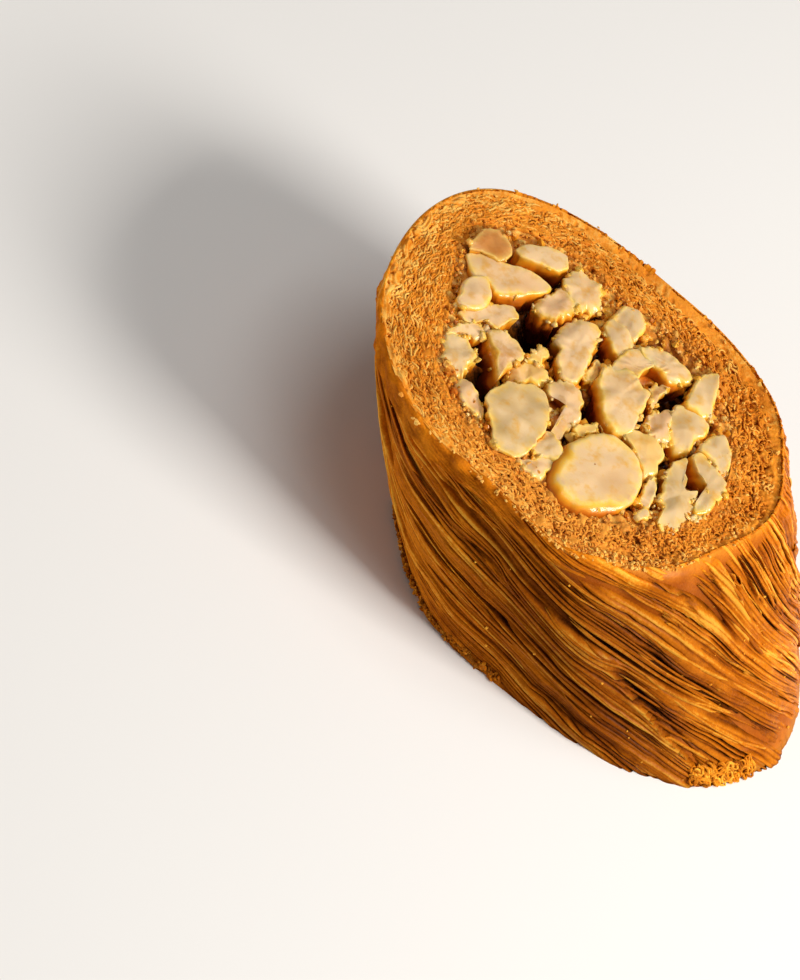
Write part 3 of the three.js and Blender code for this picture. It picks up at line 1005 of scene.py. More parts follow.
def strand_ends(name, way, angle, squiggle, seed):
    """Squiggles (a sine along the rim) or curls (an arc) over the ring of one cut."""
    draw = np.random.default_rng(seed)
    count = len(angle)
    level = (1 + way) / 2
    reach = np.hypot(*rim(CUTS[way], angle))
    outer = 1 - (lip_size(angle) + glazed_margin(angle) * MM) / reach
    inner = filling_share(angle) - 0.01
    outwards = draw.random(count)
    share = inner + (outer - inner) * outwards
    centre = roll_point(angle, share, level)
    step = 1e-3
    along = roll_point(angle + step, share, level) - roll_point(angle - step, share, level)
    along /= np.linalg.norm(along, axis=1, keepdims=True)
    inward = np.stack([-along[:, 1], along[:, 0], np.zeros(count)], 1)
    t = np.linspace(-1, 1, CURL_STEPS)[None, :]

    def column(low, high):
        return draw.uniform(low, high, (count, 1))

    turn = column(-0.45, 0.45)
    length = column(0.4, 1.5)
    sway = column(0.1, 0.26) * np.sin(t * column(2.5, 5.5) + column(0, TAU))
    swing, start, radius = column(0.8, 2.2), column(0, TAU), column(0.2, 0.48)
    if squiggle:
        x = length * t * np.cos(turn) - sway * np.sin(turn)
        y = length * t * np.sin(turn) + sway * np.cos(turn)
    else:
        x = radius * np.cos(start + swing * t)
        y = radius * np.sin(start + swing * t)
    z = column(-0.3, 0.0) + 0.06 * np.sin(3 * t + column(0, TAU)) - 0.2 * t**4
    path = centre[:, None, :] + MM * (x[..., None] * along[:, None, :] + y[..., None] * inward[:, None, :])
    path[..., 2] += way * MM * (z - END_SINK + CURL_RISE)
    if way < 0:
        path[..., 2] = np.maximum(path[..., 2], CURL_FLOOR)
    upward = np.zeros_like(path)
    upward[..., 2] = 1
    width = column(0.22, 0.38) * MM * (1 - 0.4 * t**4)
    points, faces = tubes(path, upward, width, width * 0.85, CURL_SIDES)
    off_floor(points)
    around = way * np.sin(TAU * np.arange(CURL_SIDES) / CURL_SIDES)
    # painted light on each tube's upper side, and painted shade on the tubes that lie deeper
    crest = np.clip(0.76 + 0.05 * around[None, None, :] + 0.5 * z[..., None], 0, 1)
    tone = 0.34 + 0.3 * outwards + 0.14 * near(angle, 195, 50) - 0.12 * near(angle, 340, 35)
    tone = np.clip(tone + draw.normal(0, 0.22, count), 0, 1)
    tips = smoothstep(np.abs(t), 0.8, 1.0) * column(0, 0.4) + 0.16 * near(angle, 290, 25)[:, None]
    tips = np.broadcast_to(tips[..., None], crest.shape)
    make_piece(name, points, faces, RING, "pastry", "kataifi_pastry",
               crest=crest, tone=spread(tone, CURL_STEPS, CURL_SIDES), tip=tips)


draw = np.random.default_rng(30)
for way, name, count in ((1, "upper", 2900), (-1, "lower", 1500)):
    strand_ends(name + "_squiggles", way, random_places(draw, count, layered), True, 31 + way)
    strand_ends(name + "_curls", way, random_places(draw, int(0.75 * count), curled), False, 41 + way)

# %% [markdown]
# ## The bed under the nuts
# Between the nuts one sees a bed of crumbs soaked brown with syrup, and a few hollows that go deep.
# Its colour darkens with depth, painted shade that turns the hollows near black. The bed is the core
# of the filling: a disc at each cut, with the hollows pressed into the upper one, joined down the
# side. Near its border it comes up level with the ring.

# %% From the photograph to the cut
def on_cut(pixels, height):
    """The points at a given height that the camera sees at pixels of the 800 by 980 photograph."""
    pixels = np.atleast_2d(np.asarray(pixels, float))
    across = (pixels[:, 0] - IMAGE_CENTRE[0]) / PIXELS_PER_UNIT
    over = (IMAGE_CENTRE[1] - pixels[:, 1]) / PIXELS_PER_UNIT
    ray = across[:, None] * RIGHT + over[:, None] * UP - BACK
    start = LOOK_AT + LOOK_DISTANCE * BACK
    reach = (height - start[2]) / ray[:, 2]
    return start + ray * reach[:, None]


# %% Filling bed
BED_COLUMNS = 520
BED_ROWS = 100
LOWER_BED_ROWS = 36
# the bed stops a little short of the filling's border
BED_SHARE = 0.995
# place on the photograph, radius and depth in mm
HOLLOWS = {
    "left": (528, 326, 3.6, 10.0), "lower_left": (478, 372, 2.4, 9.0), "middle": (599, 350, 1.6, 8.0),
    "below_middle": (592, 405, 2.2, 10.0), "right": (674, 396, 2.0, 9.0),
    "inner_right": (645, 414, 1.3, 7.0), "far_right": (668, 462, 1.6, 8.0),
    "corner": (697, 486, 1.5, 7.0), "top": (516, 253, 1.2, 5.0), "curl": (567, 433, 0.8, 5.0),
    "disc_foot": (508, 457, 0.9, 4.0),
}


def bed_depth(points, border):
    """How far the bed lies under its cut, in mm; border is 0 inside and 1 at the ring."""
    grains = np.clip(1.5 * cells(points, 0.6 * MM, 45), 0, 1)
    lumps = 0.3 * ripple(points, 4 * MM, 41) * (1 - 0.6 * border) + 0.15 * ripple(points, 1.5 * MM, 42)
    return 2.6 - 1.95 * border + lumps - 0.16 * grains


def hollow_depth(points):
    """Depth of the hollows in mm: flat-bottomed pits round the places in the table."""
    depth = np.zeros(points.shape[:-1])
    for px, py, radius, deep in HOLLOWS.values():
        at = on_cut((px, py), HEIGHT)[0]
        off = np.hypot(points[..., 0] - at[0], points[..., 1] - at[1]) / (radius * MM)
        depth = np.maximum(depth, deep * (1 - smoothstep(off, 0.55, 1.5)))
    return depth


def disc_rows(part, level):
    """Rows of points on a cut, each at its part of the way from the middle to the bed's border."""
    angle = np.broadcast_to(TAU * np.arange(BED_COLUMNS) / BED_COLUMNS, (len(part), BED_COLUMNS))
    return roll_point(angle, part * filling_share(angle) * BED_SHARE, level)


def filling_bed():
    """Rows across the upper cut from the middle out, down the side and back across the lower cut."""
    part = np.linspace(0.004, 1, BED_ROWS)[:, None]
    top = disc_rows(part, 1.0)
    border = smoothstep(part, 0.7, 0.9) + np.zeros(BED_COLUMNS)
    depth = np.maximum(bed_depth(top, border), hollow_depth(top) * (1 - smoothstep(part, 0.8, 0.93)))
    top[..., 2] -= depth * MM
    top[..., 0] += depth * MM * LEAN / HEIGHT
    low_part = np.linspace(1, 0.004, LOWER_BED_ROWS)[:, None]
    low = disc_rows(low_part, 0.0)
    low_border = smoothstep(low_part, 0.7, 0.95) + np.zeros(BED_COLUMNS)
    low_depth = bed_depth(low, low_border)
    low[..., 2] += np.maximum(low_depth, 0.3) * MM
    low[..., 0] -= low_depth * MM * LEAN / HEIGHT
    depth = np.concatenate([depth, low_depth])
    border = np.concatenate([border, low_border])
    points = np.concatenate([top, low])
    # painted shade: the deeper the bed lies, the darker its colour
    crest = 0.92 - 0.95 * smoothstep(depth, 0.2, 3.4) + 0.12 * ripple(points, 1.1 * MM, 46)
    return points, np.clip(crest, 0, 1), 0.42 + 0.15 * ripple(points, 3 * MM, 47), 0.08 * border


def disc_faces(rows, columns):
    """Faces of rows that run from one middle point to another, which come after the rows: the sides
    and a fan at either end."""
    ring = np.arange(columns)
    ring_next = (ring + 1) % columns
    low = (rows - 1) * columns
    top_fan = np.stack([np.full(columns, rows * columns), ring, ring_next], 1)
    low_fan = np.stack([np.full(columns, rows * columns + 1), low + ring_next, low + ring], 1)
    return [grid_quads(rows, columns)[:, ::-1], top_fan, low_fan]


def closed_disc(points):
    """Such rows of points with their two middles, and the faces."""
    middles = np.stack([points[0].mean(0), points[-1].mean(0)])
    return np.concatenate([points.reshape(-1, 3), middles]), disc_faces(*points.shape[:2])


def with_middles(values):
    """Vertex values of such rows, with the first and last repeated for the middles."""
    return np.concatenate([values.ravel(), values[0, :1], values[-1, :1]])


BED_COLOURS = [(0.008, 0.0015, 0.0004), (0.24, 0.066, 0.006), (0.66, 0.25, 0.032), (0.84, 0.48, 0.11)]
BED = pastry_material("syrup_soaked_bed", BED_COLOURS, 0.4, 0.15)
points, crest, tone, tip = filling_bed()
points, faces = closed_disc(points)
make_piece("filling_bed", points, faces, BED, "nuts", "nut_filling",
           crest=with_middles(crest), tone=with_middles(tone), tip=with_middles(tip))

# %% [markdown]
# ## Nut material
# Chopped hazelnuts, walnuts and peanuts are cream on top, where the knife went through. Down their
# sides the colour is painted amber, as a glow of light coming through, and then near black with
# depth, as painted shade, and their rims carry a painted yellow glow. Scraps of brown skin cling to edges.

# %% Nut material
# colours by tone, and the painted amber glow and shade they are multiplied by with depth
NUT_TONES = [(0.0, (0.50, 0.325, 0.125)), (0.3, (0.64, 0.42, 0.20)), (0.65, (0.75, 0.44, 0.22)),
             (0.85, (0.76, 0.45, 0.09)), (1.0, (0.55, 0.20, 0.05))]
NUT_GLOW_AND_SHADE = [(0.0, (1, 1, 1)), (0.08, (1.0, 0.84, 0.35)), (0.2, (0.93, 0.56, 0.07)),
             (0.42, (0.62, 0.23, 0.02)), (0.7, (0.20, 0.04, 0.004)), (1.0, (0.05, 0.008, 0.001))]


def nut_material():
    """Cream, peach or grey by tone, a painted yellow glow at the rim, painted amber glow and shade by
    depth, and brown skin at the edge.
    """
    material, tree, shader, noise = new_material("nut_flesh")
    cream = ramp(tree, attribute(tree, "tone"), NUT_TONES)
    clouds = map_range(tree, noise["Clouds"], 0.35, 0.65)
    clouds = math_node(tree, "MULTIPLY", clouds, map_range(tree, attribute(tree, "tone"), 1.0, 0.75))
    colour = mix_colours(tree, math_node(tree, "MULTIPLY", clouds, 0.45), cream, (0.90, 0.66, 0.38, 1))
    spots = map_range(tree, noise["Spots"], 0.52, 0.75)
    colour = mix_colours(tree, math_node(tree, "MULTIPLY", spots, 0.25), colour, (0.70, 0.34, 0.11, 1))
    # painted glow: the rim is painted yellow, as light shining through the thin edge
    yellow = math_node(tree, "MULTIPLY", attribute(tree, "rim"), map_range(tree, noise["Spots"], 0.25, 0.6))
    colour = mix_colours(tree, yellow, colour, (0.92, 0.63, 0.17, 1))
    # painted glow and shade: amber, then near black, further down the side
    wander = centred(tree, noise["Spots"], 0.3)
    depth = math_node(tree, "ADD", attribute(tree, "depth"), wander, clamp=True)
    colour = mix_colours(tree, 1.0, colour, ramp(tree, depth, NUT_GLOW_AND_SHADE), "MULTIPLY")
    skin = math_node(tree, "MULTIPLY", attribute(tree, "skin"), map_range(tree, noise["Spots"], 0.42, 0.6))
    colour = mix_colours(tree, skin, colour, (0.30, 0.09, 0.02, 1))
    tree.links.new(colour, shader.inputs["Base Color"])
    grainy_surface(tree, shader, noise["Grain"], (0.22, 0.42), 0.2, 0.0001)
    set_inputs(shader, {
        "Specular IOR Level": 0.3, "Specular Tint": (1.0, 0.88, 0.65, 1), "Coat Weight": 0.3,
        "Coat Roughness": 0.12, "Subsurface Weight": 0.25, "Subsurface Radius": (1.0, 0.6, 0.3),
        "Subsurface Scale": 0.0009,
    })
    return material


NUT = nut_material()

# %% [markdown]
# ## Chopped nuts
# Each nut that shows is a chunk cut off level with the pastry. Its outline on the cut is a closed
# curve through a few corners, picked on the photograph and carried back along the camera's
# rays to the plane of the cut. From there the chunk goes down into the filling: a slightly domed
# top, with two facets broken off it where it is ragged and deep, a rounded edge, and sides that are
# painted amber and brown on their way down, as glow and shade. Where the photograph shows such a
# side, the chunk's underside is moved towards it.

# %% Nut shape
NUT_COLUMNS = 104
TOP_ROWS = np.array([0.12, 0.3, 0.48, 0.64, 0.78, 0.9, 0.97])
EDGE_ROWS = np.linspace(0, 1, 5)
SIDE_ROWS = np.array([0.08, 0.18, 0.3, 0.44, 0.6, 0.8, 1.0])
UNDER_ROWS = np.array([0.5])
DOME = 0.13
# two facets are broken off the chunks that are more ragged and deeper (in mm) than this
FACETS = 2
RAGGED_FROM = 0.15
DEEP_FROM = 3
# depth in mm at which the painted shade on a chunk's side is darkest
DARKEST_SHADE_MM = 3.6
# a walnut half shows shallow ridges that fan out from its hollow
RIDGED = ("walnut", "arc_left", "arc_right")
RIDGE_CENTRE = on_cut([(648, 377)], HEIGHT)[0, :2]
RIDGES = 22
RIDGE_DEPTH = 0.05


def smooth_outline(corners, roundness):
    """A closed curve through the corners: a mix of straight sides and of cubic pieces whose slope at
    a corner is half the step between its neighbours (Catmull-Rom)."""
    corners = np.asarray(corners, float)
    count = len(corners)
    t = np.arange(NUT_COLUMNS) * count / NUT_COLUMNS
    i = t.astype(int)
    f = (t - i)[:, None]
    a, b, c, d = (corners[(i + k) % count] for k in (-1, 0, 1, 2))
    curve = 0.5 * (2 * b + (c - a) * f + (2 * a - 5 * b + 4 * c - d) * f**2
                   + (3 * b - a - 3 * c + d) * f**3)
    return roundness * curve + (1 - roundness) * (b + (c - b) * f)


def facet_drop(arm, share, facets, draw):
    """How far the top falls below its middle, in mm: a slight dome, and facets, each a tilted plane
    that starts part of the way from the middle and takes off one side."""
    reach = np.linalg.norm(arm, axis=1)
    size = reach.mean()
    fall = DOME * np.minimum(share * reach / size, 1.3) ** 2
    for turn in draw.uniform(0, TAU, facets):
        along = (arm @ np.array([math.cos(turn), math.sin(turn)])) * share
        past = (along - draw.uniform(0.1, 0.6) * size) / MM
        fall += draw.uniform(0.08, 0.32) * (np.sqrt(past**2 + 0.04) + past) / 2
    return fall


def nut_points(outline, top, way, deep, edge, ragged, foot, seed, ridged=False):
    """Rows of one chunk, from the middle of its top to the middle of its underside, and how far down
    each point lies in mm, with some added on the flank that faces the foot, which deepens the painted
    shade there.

    outline is in metres and top is the height of the cut face; way is 1 on the upper cut and -1 on
    the lower one; deep and edge are the depth and edge radius in mm; ragged frays the outline; foot
    is how far the underside is moved in X and Y, and the edge is rounder on that side. An outline
    that runs clockwise is turned round first, so that the faces point out."""
    draw = np.random.default_rng(seed)
    ahead = np.roll(outline, -1, 0)
    if np.sum(outline[:, 0] * ahead[:, 1] - ahead[:, 0] * outline[:, 1]) < 0:
        outline = outline[::-1]
    centre = outline.mean(0)
    arm = outline - centre
    reach = np.linalg.norm(arm, axis=1)
    noise_at = np.concatenate([outline, np.full((NUT_COLUMNS, 1), seed * MM)], 1)
    fray = 0.17 * ripple(noise_at, 2.0 * MM, seed) + 0.16 * ripple(noise_at, 0.9 * MM, seed + 1)
    towards_foot = np.clip(arm @ foot / reach / MM, 0, 1.5)
    edge = edge * (1 + towards_foot)
    reach_share = 1 + (ragged * fray + 0.04 * ripple(noise_at, 1.5 * MM, seed + 2)) * MM / reach
    edge_share = np.clip(1 - edge * MM / reach, 0.2, 1)
    quarter = EDGE_ROWS[:, None] * math.pi / 2
    share = np.concatenate([
        TOP_ROWS[:, None] * edge_share,
        edge_share + (1 - edge_share) * np.sin(quarter),
        1 - 0.10 * SIDE_ROWS[:, None] ** 1.5 + 0 * edge_share,
        UNDER_ROWS[:, None] * 0.9 + 0 * edge_share,
    ])
    drop = np.concatenate([
        0 * TOP_ROWS[:, None] + 0 * edge_share,
        edge * (1 - np.cos(quarter)),
        edge + (deep - edge) * SIDE_ROWS[:, None],
        deep + 0.5 + 0 * UNDER_ROWS[:, None] + 0 * edge_share,
    ])
    side = np.clip((drop - edge) / (deep - edge), 0, 1)
    flank = np.concatenate([0 * TOP_ROWS, np.sin(quarter[:, 0]), SIDE_ROWS**0, UNDER_ROWS**0])[:, None]
    flat = centre + arm * (share * (1 + (reach_share - 1) * smoothstep(share, 0.3, 1)))[..., None]
    flat = flat + side[..., None] ** 0.8 * foot
    fall = facet_drop(arm, share, FACETS if ragged > RAGGED_FROM and deep > DEEP_FROM else 0, draw)
    if ridged:
        off = flat - RIDGE_CENTRE
        waves = np.sin(RIDGES * np.arctan2(off[..., 1], off[..., 0]))
        fall = fall + RIDGE_DEPTH * waves * smoothstep(share, 0.1, 0.4)
    fall = fall * (1 - side)
    z = top - way * (drop + fall) * MM
    points = np.concatenate([flat, z[..., None]], -1)
    on_top = (drop < edge)[..., None]
    broad = np.stack([ripple(points, 3.0 * MM, seed + k) for k in (3, 4, 5)], -1)
    fine = np.stack([ripple(points, 1.2 * MM, seed + k) for k in (6, 7, 8)], -1)
    sway = np.where(on_top, [0.04, 0.04, 0.05 + 0.10 * min(ragged, 1)], [0.10, 0.10, 0.08]) * broad
    sway += np.where(on_top, [0.0, 0.0, 0.012], [0.04, 0.04, 0.03]) * (1 + 2 * ragged) * fine
    return points + sway * MM, drop + 0.8 * flank * towards_foot


def nut_mesh(chunks, way):
    """Joins chunks, closing each with a fan at its top and its underside. Sunk chunks get more painted
    shade.
    """
    all_points, blocks, values = [], ([], [], []), {"tone": [], "depth": [], "skin": [], "rim": []}
    base = 0
    for points, drop, tone, skin, sunk in chunks:
        block, faces = closed_disc(points)
        for joined, part in zip(blocks, faces):
            joined.append(base + part[:, ::way])
        values["tone"].append(np.full(len(block), tone))
        values["depth"].append(with_middles(np.clip((drop + sunk - 0.1) / DARKEST_SHADE_MM, 0, 1)))
        values["skin"].append(with_middles(np.exp(-(((drop - 0.5) / 0.5) ** 2)) * skin))
        row = np.arange(len(drop))[:, None] + 0 * drop
        # the top's outer rows and the side, which get the painted yellow glow
        values["rim"].append(with_middles(smoothstep(row, 2.5, len(TOP_ROWS) + 1.0)))
        all_points.append(block)
        base += len(block)
    joined_values = {name: np.concatenate(parts) for name, parts in values.items()}
    return np.concatenate(all_points), [np.concatenate(parts) for parts in blocks], joined_values


# %% Nuts on the upper cut
# height of the top over the cut, depth and edge radius in mm; how round and how ragged the outline
# is; tone and skin from 0 to 1; then on the photograph how far the underside is moved, and the
# corners of the outline
UPPER_NUTS = {
    "long_chunk": (0.5, 6.0, 0.35, 0.7, 0.1, 0.55, 0.1, (3, 9), [
        (467, 252), (480, 251), (492, 255), (501, 260), (512, 263), (534, 272), (549, 280), (554, 287),
        (546, 293), (534, 294), (514, 297), (501, 295), (494, 292), (490, 284), (484, 276), (474, 274)]),
    "peach_wedge": (1.0, 1.6, 0.2, 0.4, 0.2, 0.98, 0.7, (0, 1), [
        (470, 247), (475, 237), (484, 229), (491, 227), (499, 229), (505, 236), (513, 243), (513, 253),
        (509, 258), (501, 260), (491, 255), (482, 250)]),
    "block": (0.8, 5.0, 0.25, 0.4, 0.1, 0.42, 0.2, (1, 6), [
        (516, 248), (525, 243), (545, 245), (568, 253), (570, 268), (560, 271), (549, 268), (534, 261),
        (521, 255)]),
    "bean": (0.9, 3.5, 0.4, 1.0, 0.1, 0.5, 0.1, (0, 1), [
        (464, 281), (472, 275), (484, 274), (491, 280), (493, 290), (491, 299), (484, 307), (475, 308),
        (465, 306), (458, 299), (460, 292)]),
    "leaf": (0.3, 2.4, 0.2, 0.7, 0.4, 0.5, 0.3, (0, 1), [
        (459, 312), (467, 307), (482, 305), (493, 303), (508, 303), (516, 308), (520, 317), (512, 319),
        (505, 325), (499, 329), (491, 323), (486, 319), (477, 321), (465, 319)]),
    "wavy_right": (0.7, 5.0, 0.35, 0.9, 0.8, 0.4, 0.1, (0, 2), [
        (564, 280), (569, 273), (577, 270), (587, 273), (592, 278), (600, 284), (604, 295), (602, 304),
        (594, 310), (585, 309), (577, 304), (569, 294)]),
    "wavy_left": (0.5, 5.5, 0.35, 0.9, 0.8, 0.6, 0.4, (0, 8), [
        (537, 304), (540, 297), (549, 293), (557, 288), (566, 286), (571, 295), (577, 304), (572, 314),
        (564, 319), (552, 321), (544, 316)]),
    "glassy": (-0.1, 5.0, 0.5, 0.9, 0.7, 0.18, 0.3, (0, 2), [
        (441, 345), (444, 336), (452, 332), (464, 334), (471, 342), (477, 352), (476, 360), (470, 370),
        (463, 376), (456, 374), (448, 368), (443, 360)]),
    "glassy_top": (0.1, 3.0, 0.4, 0.9, 0.9, 0.7, 0.1, (0, 1), [
        (449, 331), (455, 323), (466, 321), (480, 322), (488, 327), (486, 335), (476, 339), (464, 335)]),
    "slip": (0.0, 5.0, 0.3, 0.8, 0.4, 0.62, 0.0, (0, 1), [
        (457, 382), (462, 375), (468, 377), (475, 388), (482, 399), (486, 410), (484, 417), (476, 414),
        (468, 407), (461, 396)]),
    "amber": (0.6, 7.0, 0.4, 0.7, 0.3, 0.6, 0.5, (-10, 4), [
        (489, 330), (498, 327), (508, 331), (516, 338), (522, 347), (525, 356), (519, 362), (511, 366),
        (505, 373), (500, 378), (496, 367), (493, 354), (490, 342)]),
    "crumbly": (0.0, 4.0, 0.5, 0.8, 1.0, 0.78, 0.0, (0, 4), [
        (510, 366), (519, 360), (531, 358), (541, 362), (549, 373), (551, 381), (542, 384), (530, 381),
        (519, 381), (510, 378)]),
    "nub": (0.4, 3.0, 0.35, 0.9, 0.9, 0.82, 0.0, (0, 2), [
        (533, 352), (540, 346), (547, 348), (549, 355), (543, 360), (541, 365), (534, 362), (528, 357)]),
    "central": (0.6, 7.0, 0.4, 0.9, 0.5, 0.5, 0.2, (3, 2), [
        (559, 330), (564, 322), (574, 318), (585, 317), (594, 322), (602, 329), (600, 338), (597, 349),
        (592, 360), (587, 370), (581, 380), (572, 382), (563, 377), (559, 365), (558, 355), (561, 345),
        (557, 338)]),
    "wedge_right": (0.4, 5.5, 0.3, 0.5, 0.2, 0.38, 0.0, (-6, 4), [
        (606, 322), (615, 317), (625, 327), (632, 338), (636, 345), (628, 351), (619, 358), (613, 350),
        (608, 337)]),
    "pale_right": (0.2, 4.0, 0.5, 1.0, 0.3, 0.22, 0.0, (0, 1), [
        (614, 318), (617, 309), (626, 304), (637, 305), (645, 313), (648, 324), (643, 335), (634, 340),
        (624, 329)]),
    "walnut": (0.8, 6.0, 0.4, 0.8, 0.4, 0.36, 0.2, (-5, 3), [
        (599, 384), (598, 375), (603, 366), (609, 363), (616, 366), (626, 366), (634, 371), (639, 378),
        (642, 385), (651, 392), (647, 406), (641, 416), (636, 428), (628, 434), (618, 430), (609, 421),
        (602, 406)]),
    "arc_left": (0.8, 4.0, 0.25, 0.9, 0.2, 0.42, 0.1, (0, 1), [
        (611, 368), (616, 360), (622, 353), (629, 349), (641, 346), (651, 353), (658, 363), (650, 368),
        (641, 374), (637, 384), (626, 380), (616, 374)]),
    "arc_right": (0.85, 5.0, 0.35, 0.8, 0.3, 0.36, 0.2, (-3, 8), [
        (640, 347), (647, 345), (655, 346), (662, 348), (671, 352), (680, 360), (688, 367), (694, 372),
        (697, 377), (692, 381), (684, 382), (676, 383), (669, 381), (663, 375), (655, 368), (646, 358)]),
    "arc_inner": (-1.1, 4.0, 0.4, 0.8, 0.8, 1.0, 0.6, (0, 1), [
        (638, 374), (644, 368), (652, 366), (659, 371), (667, 380), (661, 384), (651, 386), (644, 387),
        (638, 382)]),
    "bridge": (0.0, 3.0, 0.3, 0.7, 0.9, 0.7, 0.5, (0, 2), [
        (651, 389), (657, 383), (665, 382), (672, 385), (667, 390), (661, 396), (656, 406), (652, 411),
        (650, 404), (650, 396)]),
    "tall": (0.8, 6.0, 0.4, 0.8, 0.3, 0.26, 0.0, (-3, 6), [
        (699, 377), (706, 372), (713, 371), (720, 371), (720, 381), (718, 392), (716, 403), (714, 414),
        (706, 418), (697, 412), (688, 407), (685, 401), (688, 394), (695, 383)]),
    "tall_left": (0.35, 6.0, 0.4, 0.9, 0.3, 0.2, 0.0, (-1, 7), [
        (671, 411), (677, 404), (686, 404), (697, 411), (706, 417), (711, 426), (706, 435), (699, 440),
        (694, 447), (688, 451), (679, 450), (673, 440), (669, 429)]),
    "tall_crumb": (0.1, 4.0, 0.3, 0.6, 1.0, 0.55, 0.1, (0, 3), [
        (644, 422), (651, 416), (656, 409), (666, 407), (672, 411), (671, 429), (674, 440), (668, 444),
        (661, 441), (651, 436), (648, 428)]),
    "disc": (0.6, 2.2, 0.18, 0.8, 0.35, 0.06, 0.1, (0, 1), [
        (487, 393), (494, 388), (501, 384), (509, 380), (520, 382), (531, 383), (541, 388), (547, 394),
        (549, 403), (551, 413), (549, 425), (541, 436), (533, 445), (528, 452), (520, 456), (511, 453),
        (502, 448), (495, 441), (492, 428), (490, 417), (488, 405)]),
    "disc_lobe": (0.2, 4.0, 0.4, 0.9, 0.4, 0.14, 0.0, (0, 2), [
        (540, 436), (549, 428), (557, 435), (563, 444), (565, 454), (557, 460), (545, 457), (534, 451),
        (531, 444)]),
    "pink_slip": (0.0, 3.5, 0.4, 0.8, 0.5, 0.5, 0.0, (1, 3), [
        (519, 459), (530, 457), (544, 456), (557, 460), (551, 470), (543, 479), (534, 478), (526, 470)]),
    "curl": (0.5, 5.0, 0.4, 0.8, 0.6, 0.5, 0.4, (0, 2), [
        (548, 390), (552, 380), (559, 377), (567, 377), (577, 383), (583, 393), (586, 402), (582, 407),
        (583, 417), (577, 421), (573, 427), (567, 433), (559, 434), (553, 429), (559, 422), (565, 418),
        (566, 408), (565, 397), (559, 392), (551, 395)]),
    "curl_hollow": (-0.9, 4.0, 0.5, 0.8, 0.8, 1.0, 1.0, (0, 1), [
        (546, 400), (551, 395), (559, 392), (565, 398), (567, 409), (565, 420), (559, 423), (552, 426),
        (550, 412)]),
    "yellow": (0.1, 3.0, 0.35, 0.7, 0.6, 0.86, 0.0, (-1, 5), [
        (573, 430), (579, 423), (593, 424), (598, 422), (600, 428), (587, 434), (577, 437)]),
    "hazelnut_dot": (0.75, 1.0, 0.1, 1.0, 0.0, 1.0, 1.0, (0, 0), [
        (593, 464), (594, 463), (596, 464), (596, 466), (594, 467), (593, 466)]),
    "hazelnut": (0.75, 6.5, 0.7, 1.0, 0.0, 0.45, 0.0, (-26, 14), [
        (549, 478), (552, 463), (560, 449), (575, 438), (597, 431), (612, 433), (625, 439), (635, 449),
        (643, 463), (645, 478), (641, 492), (631, 504), (615, 511), (598, 514), (579, 510), (562, 501),
        (553, 490)]),
    "yellow_right": (0.3, 5.0, 0.35, 0.6, 0.4, 0.80, 0.0, (0, 4), [
        (625, 433), (636, 427), (646, 431), (658, 440), (665, 449), (662, 462), (659, 473), (651, 475),
        (646, 477), (641, 467), (634, 450)]),
    "sliver": (0.0, 4.0, 0.3, 0.8, 0.5, 0.35, 0.0, (0, 2), [
        (647, 479), (655, 478), (658, 487), (655, 498), (649, 506), (642, 508), (640, 500), (644, 489)]),
    "jagged": (0.5, 4.0, 0.3, 0.5, 0.6, 0.0, 0.1, (0, 2), [
        (665, 475), (669, 467), (678, 460), (687, 454), (689, 460), (685, 469), (688, 477), (686, 486),
        (691, 490), (699, 491), (700, 497), (694, 502), (700, 508), (698, 517), (693, 521), (687, 526),
        (676, 531), (667, 529), (660, 521), (662, 511), (665, 504), (659, 496), (666, 491), (662, 484)]),
    "hook": (0.6, 5.0, 0.35, 0.8, 0.4, 0.12, 0.1, (-5, 4), [
        (694, 454), (701, 450), (708, 453), (713, 463), (720, 469), (728, 480), (727, 491), (722, 500),
        (715, 508), (706, 513), (698, 512), (695, 504), (700, 499), (706, 494), (709, 487), (703, 477),
        (697, 467)]),
    "hook_top": (0.2, 4.0, 0.4, 0.9, 0.3, 0.1, 0.0, (0, 1), [
        (700, 449), (705, 439), (716, 433), (727, 435), (732, 445), (733, 458), (731, 471), (727, 479),
        (719, 469), (711, 459)]),
    "pebble": (0.1, 2.0, 0.3, 0.9, 0.3, 0.1, 0.0, (0, 1), [
        (636, 513), (642, 507), (649, 509), (651, 516), (645, 520), (638, 518)]),
    "left_crumb": (-0.1, 3.0, 0.4, 0.8, 0.9, 0.84, 0.0, (0, 2), [
        (588, 366), (594, 360), (603, 362), (603, 372), (599, 380), (592, 382), (586, 376)]),
    "low_crumb": (0.1, 3.0, 0.3, 0.8, 0.9, 0.8, 0.0, (0, 2), [
        (697, 494), (704, 497), (701, 505), (708, 512), (700, 518), (694, 512), (698, 503)]),
}

draw = np.random.default_rng(51)
chunks, nibs = [], []
for number, (name, nut) in enumerate(UPPER_NUTS.items()):
    top, deep, edge, roundness, ragged, tone, skin, moved, corners = nut
    height = HEIGHT + top * MM
    outline = smooth_outline(on_cut(corners, height)[:, :2], roundness)
    start, end = on_cut([IMAGE_CENTRE, np.add(IMAGE_CENTRE, moved)], height)[:, :2]
    seed = 100 + 10 * number
    points, drop = nut_points(outline, height, 1, deep, edge, ragged, end - start, seed, name in RIDGED)
    points[..., 2] = np.minimum(points[..., 2], HIGHEST)
    # chunks whose top lies under the cut get more painted shade
    chunks.append((points, drop, tone, skin, 0.9 * max(-0.3 - top, 0)))
    nibs.append(points[len(TOP_ROWS) + 2, draw.integers(0, NUT_COLUMNS, int(16 * ragged))])
points, faces, values = nut_mesh(chunks, 1)
make_piece("upper_nuts", points, faces, NUT, "nuts", "nut_filling", **values)

# %% [markdown]
# ## The lower cut
# The lower cut stands on the table and no photograph shows it, so its nuts are made up: chunks with
# flat faces level with the table, spread like the seeds of a sunflower, which fills an oval evenly.

# %% Nuts on the lower cut
LOWER_NUTS = 30
GOLDEN_TURN = math.radians(137.5)


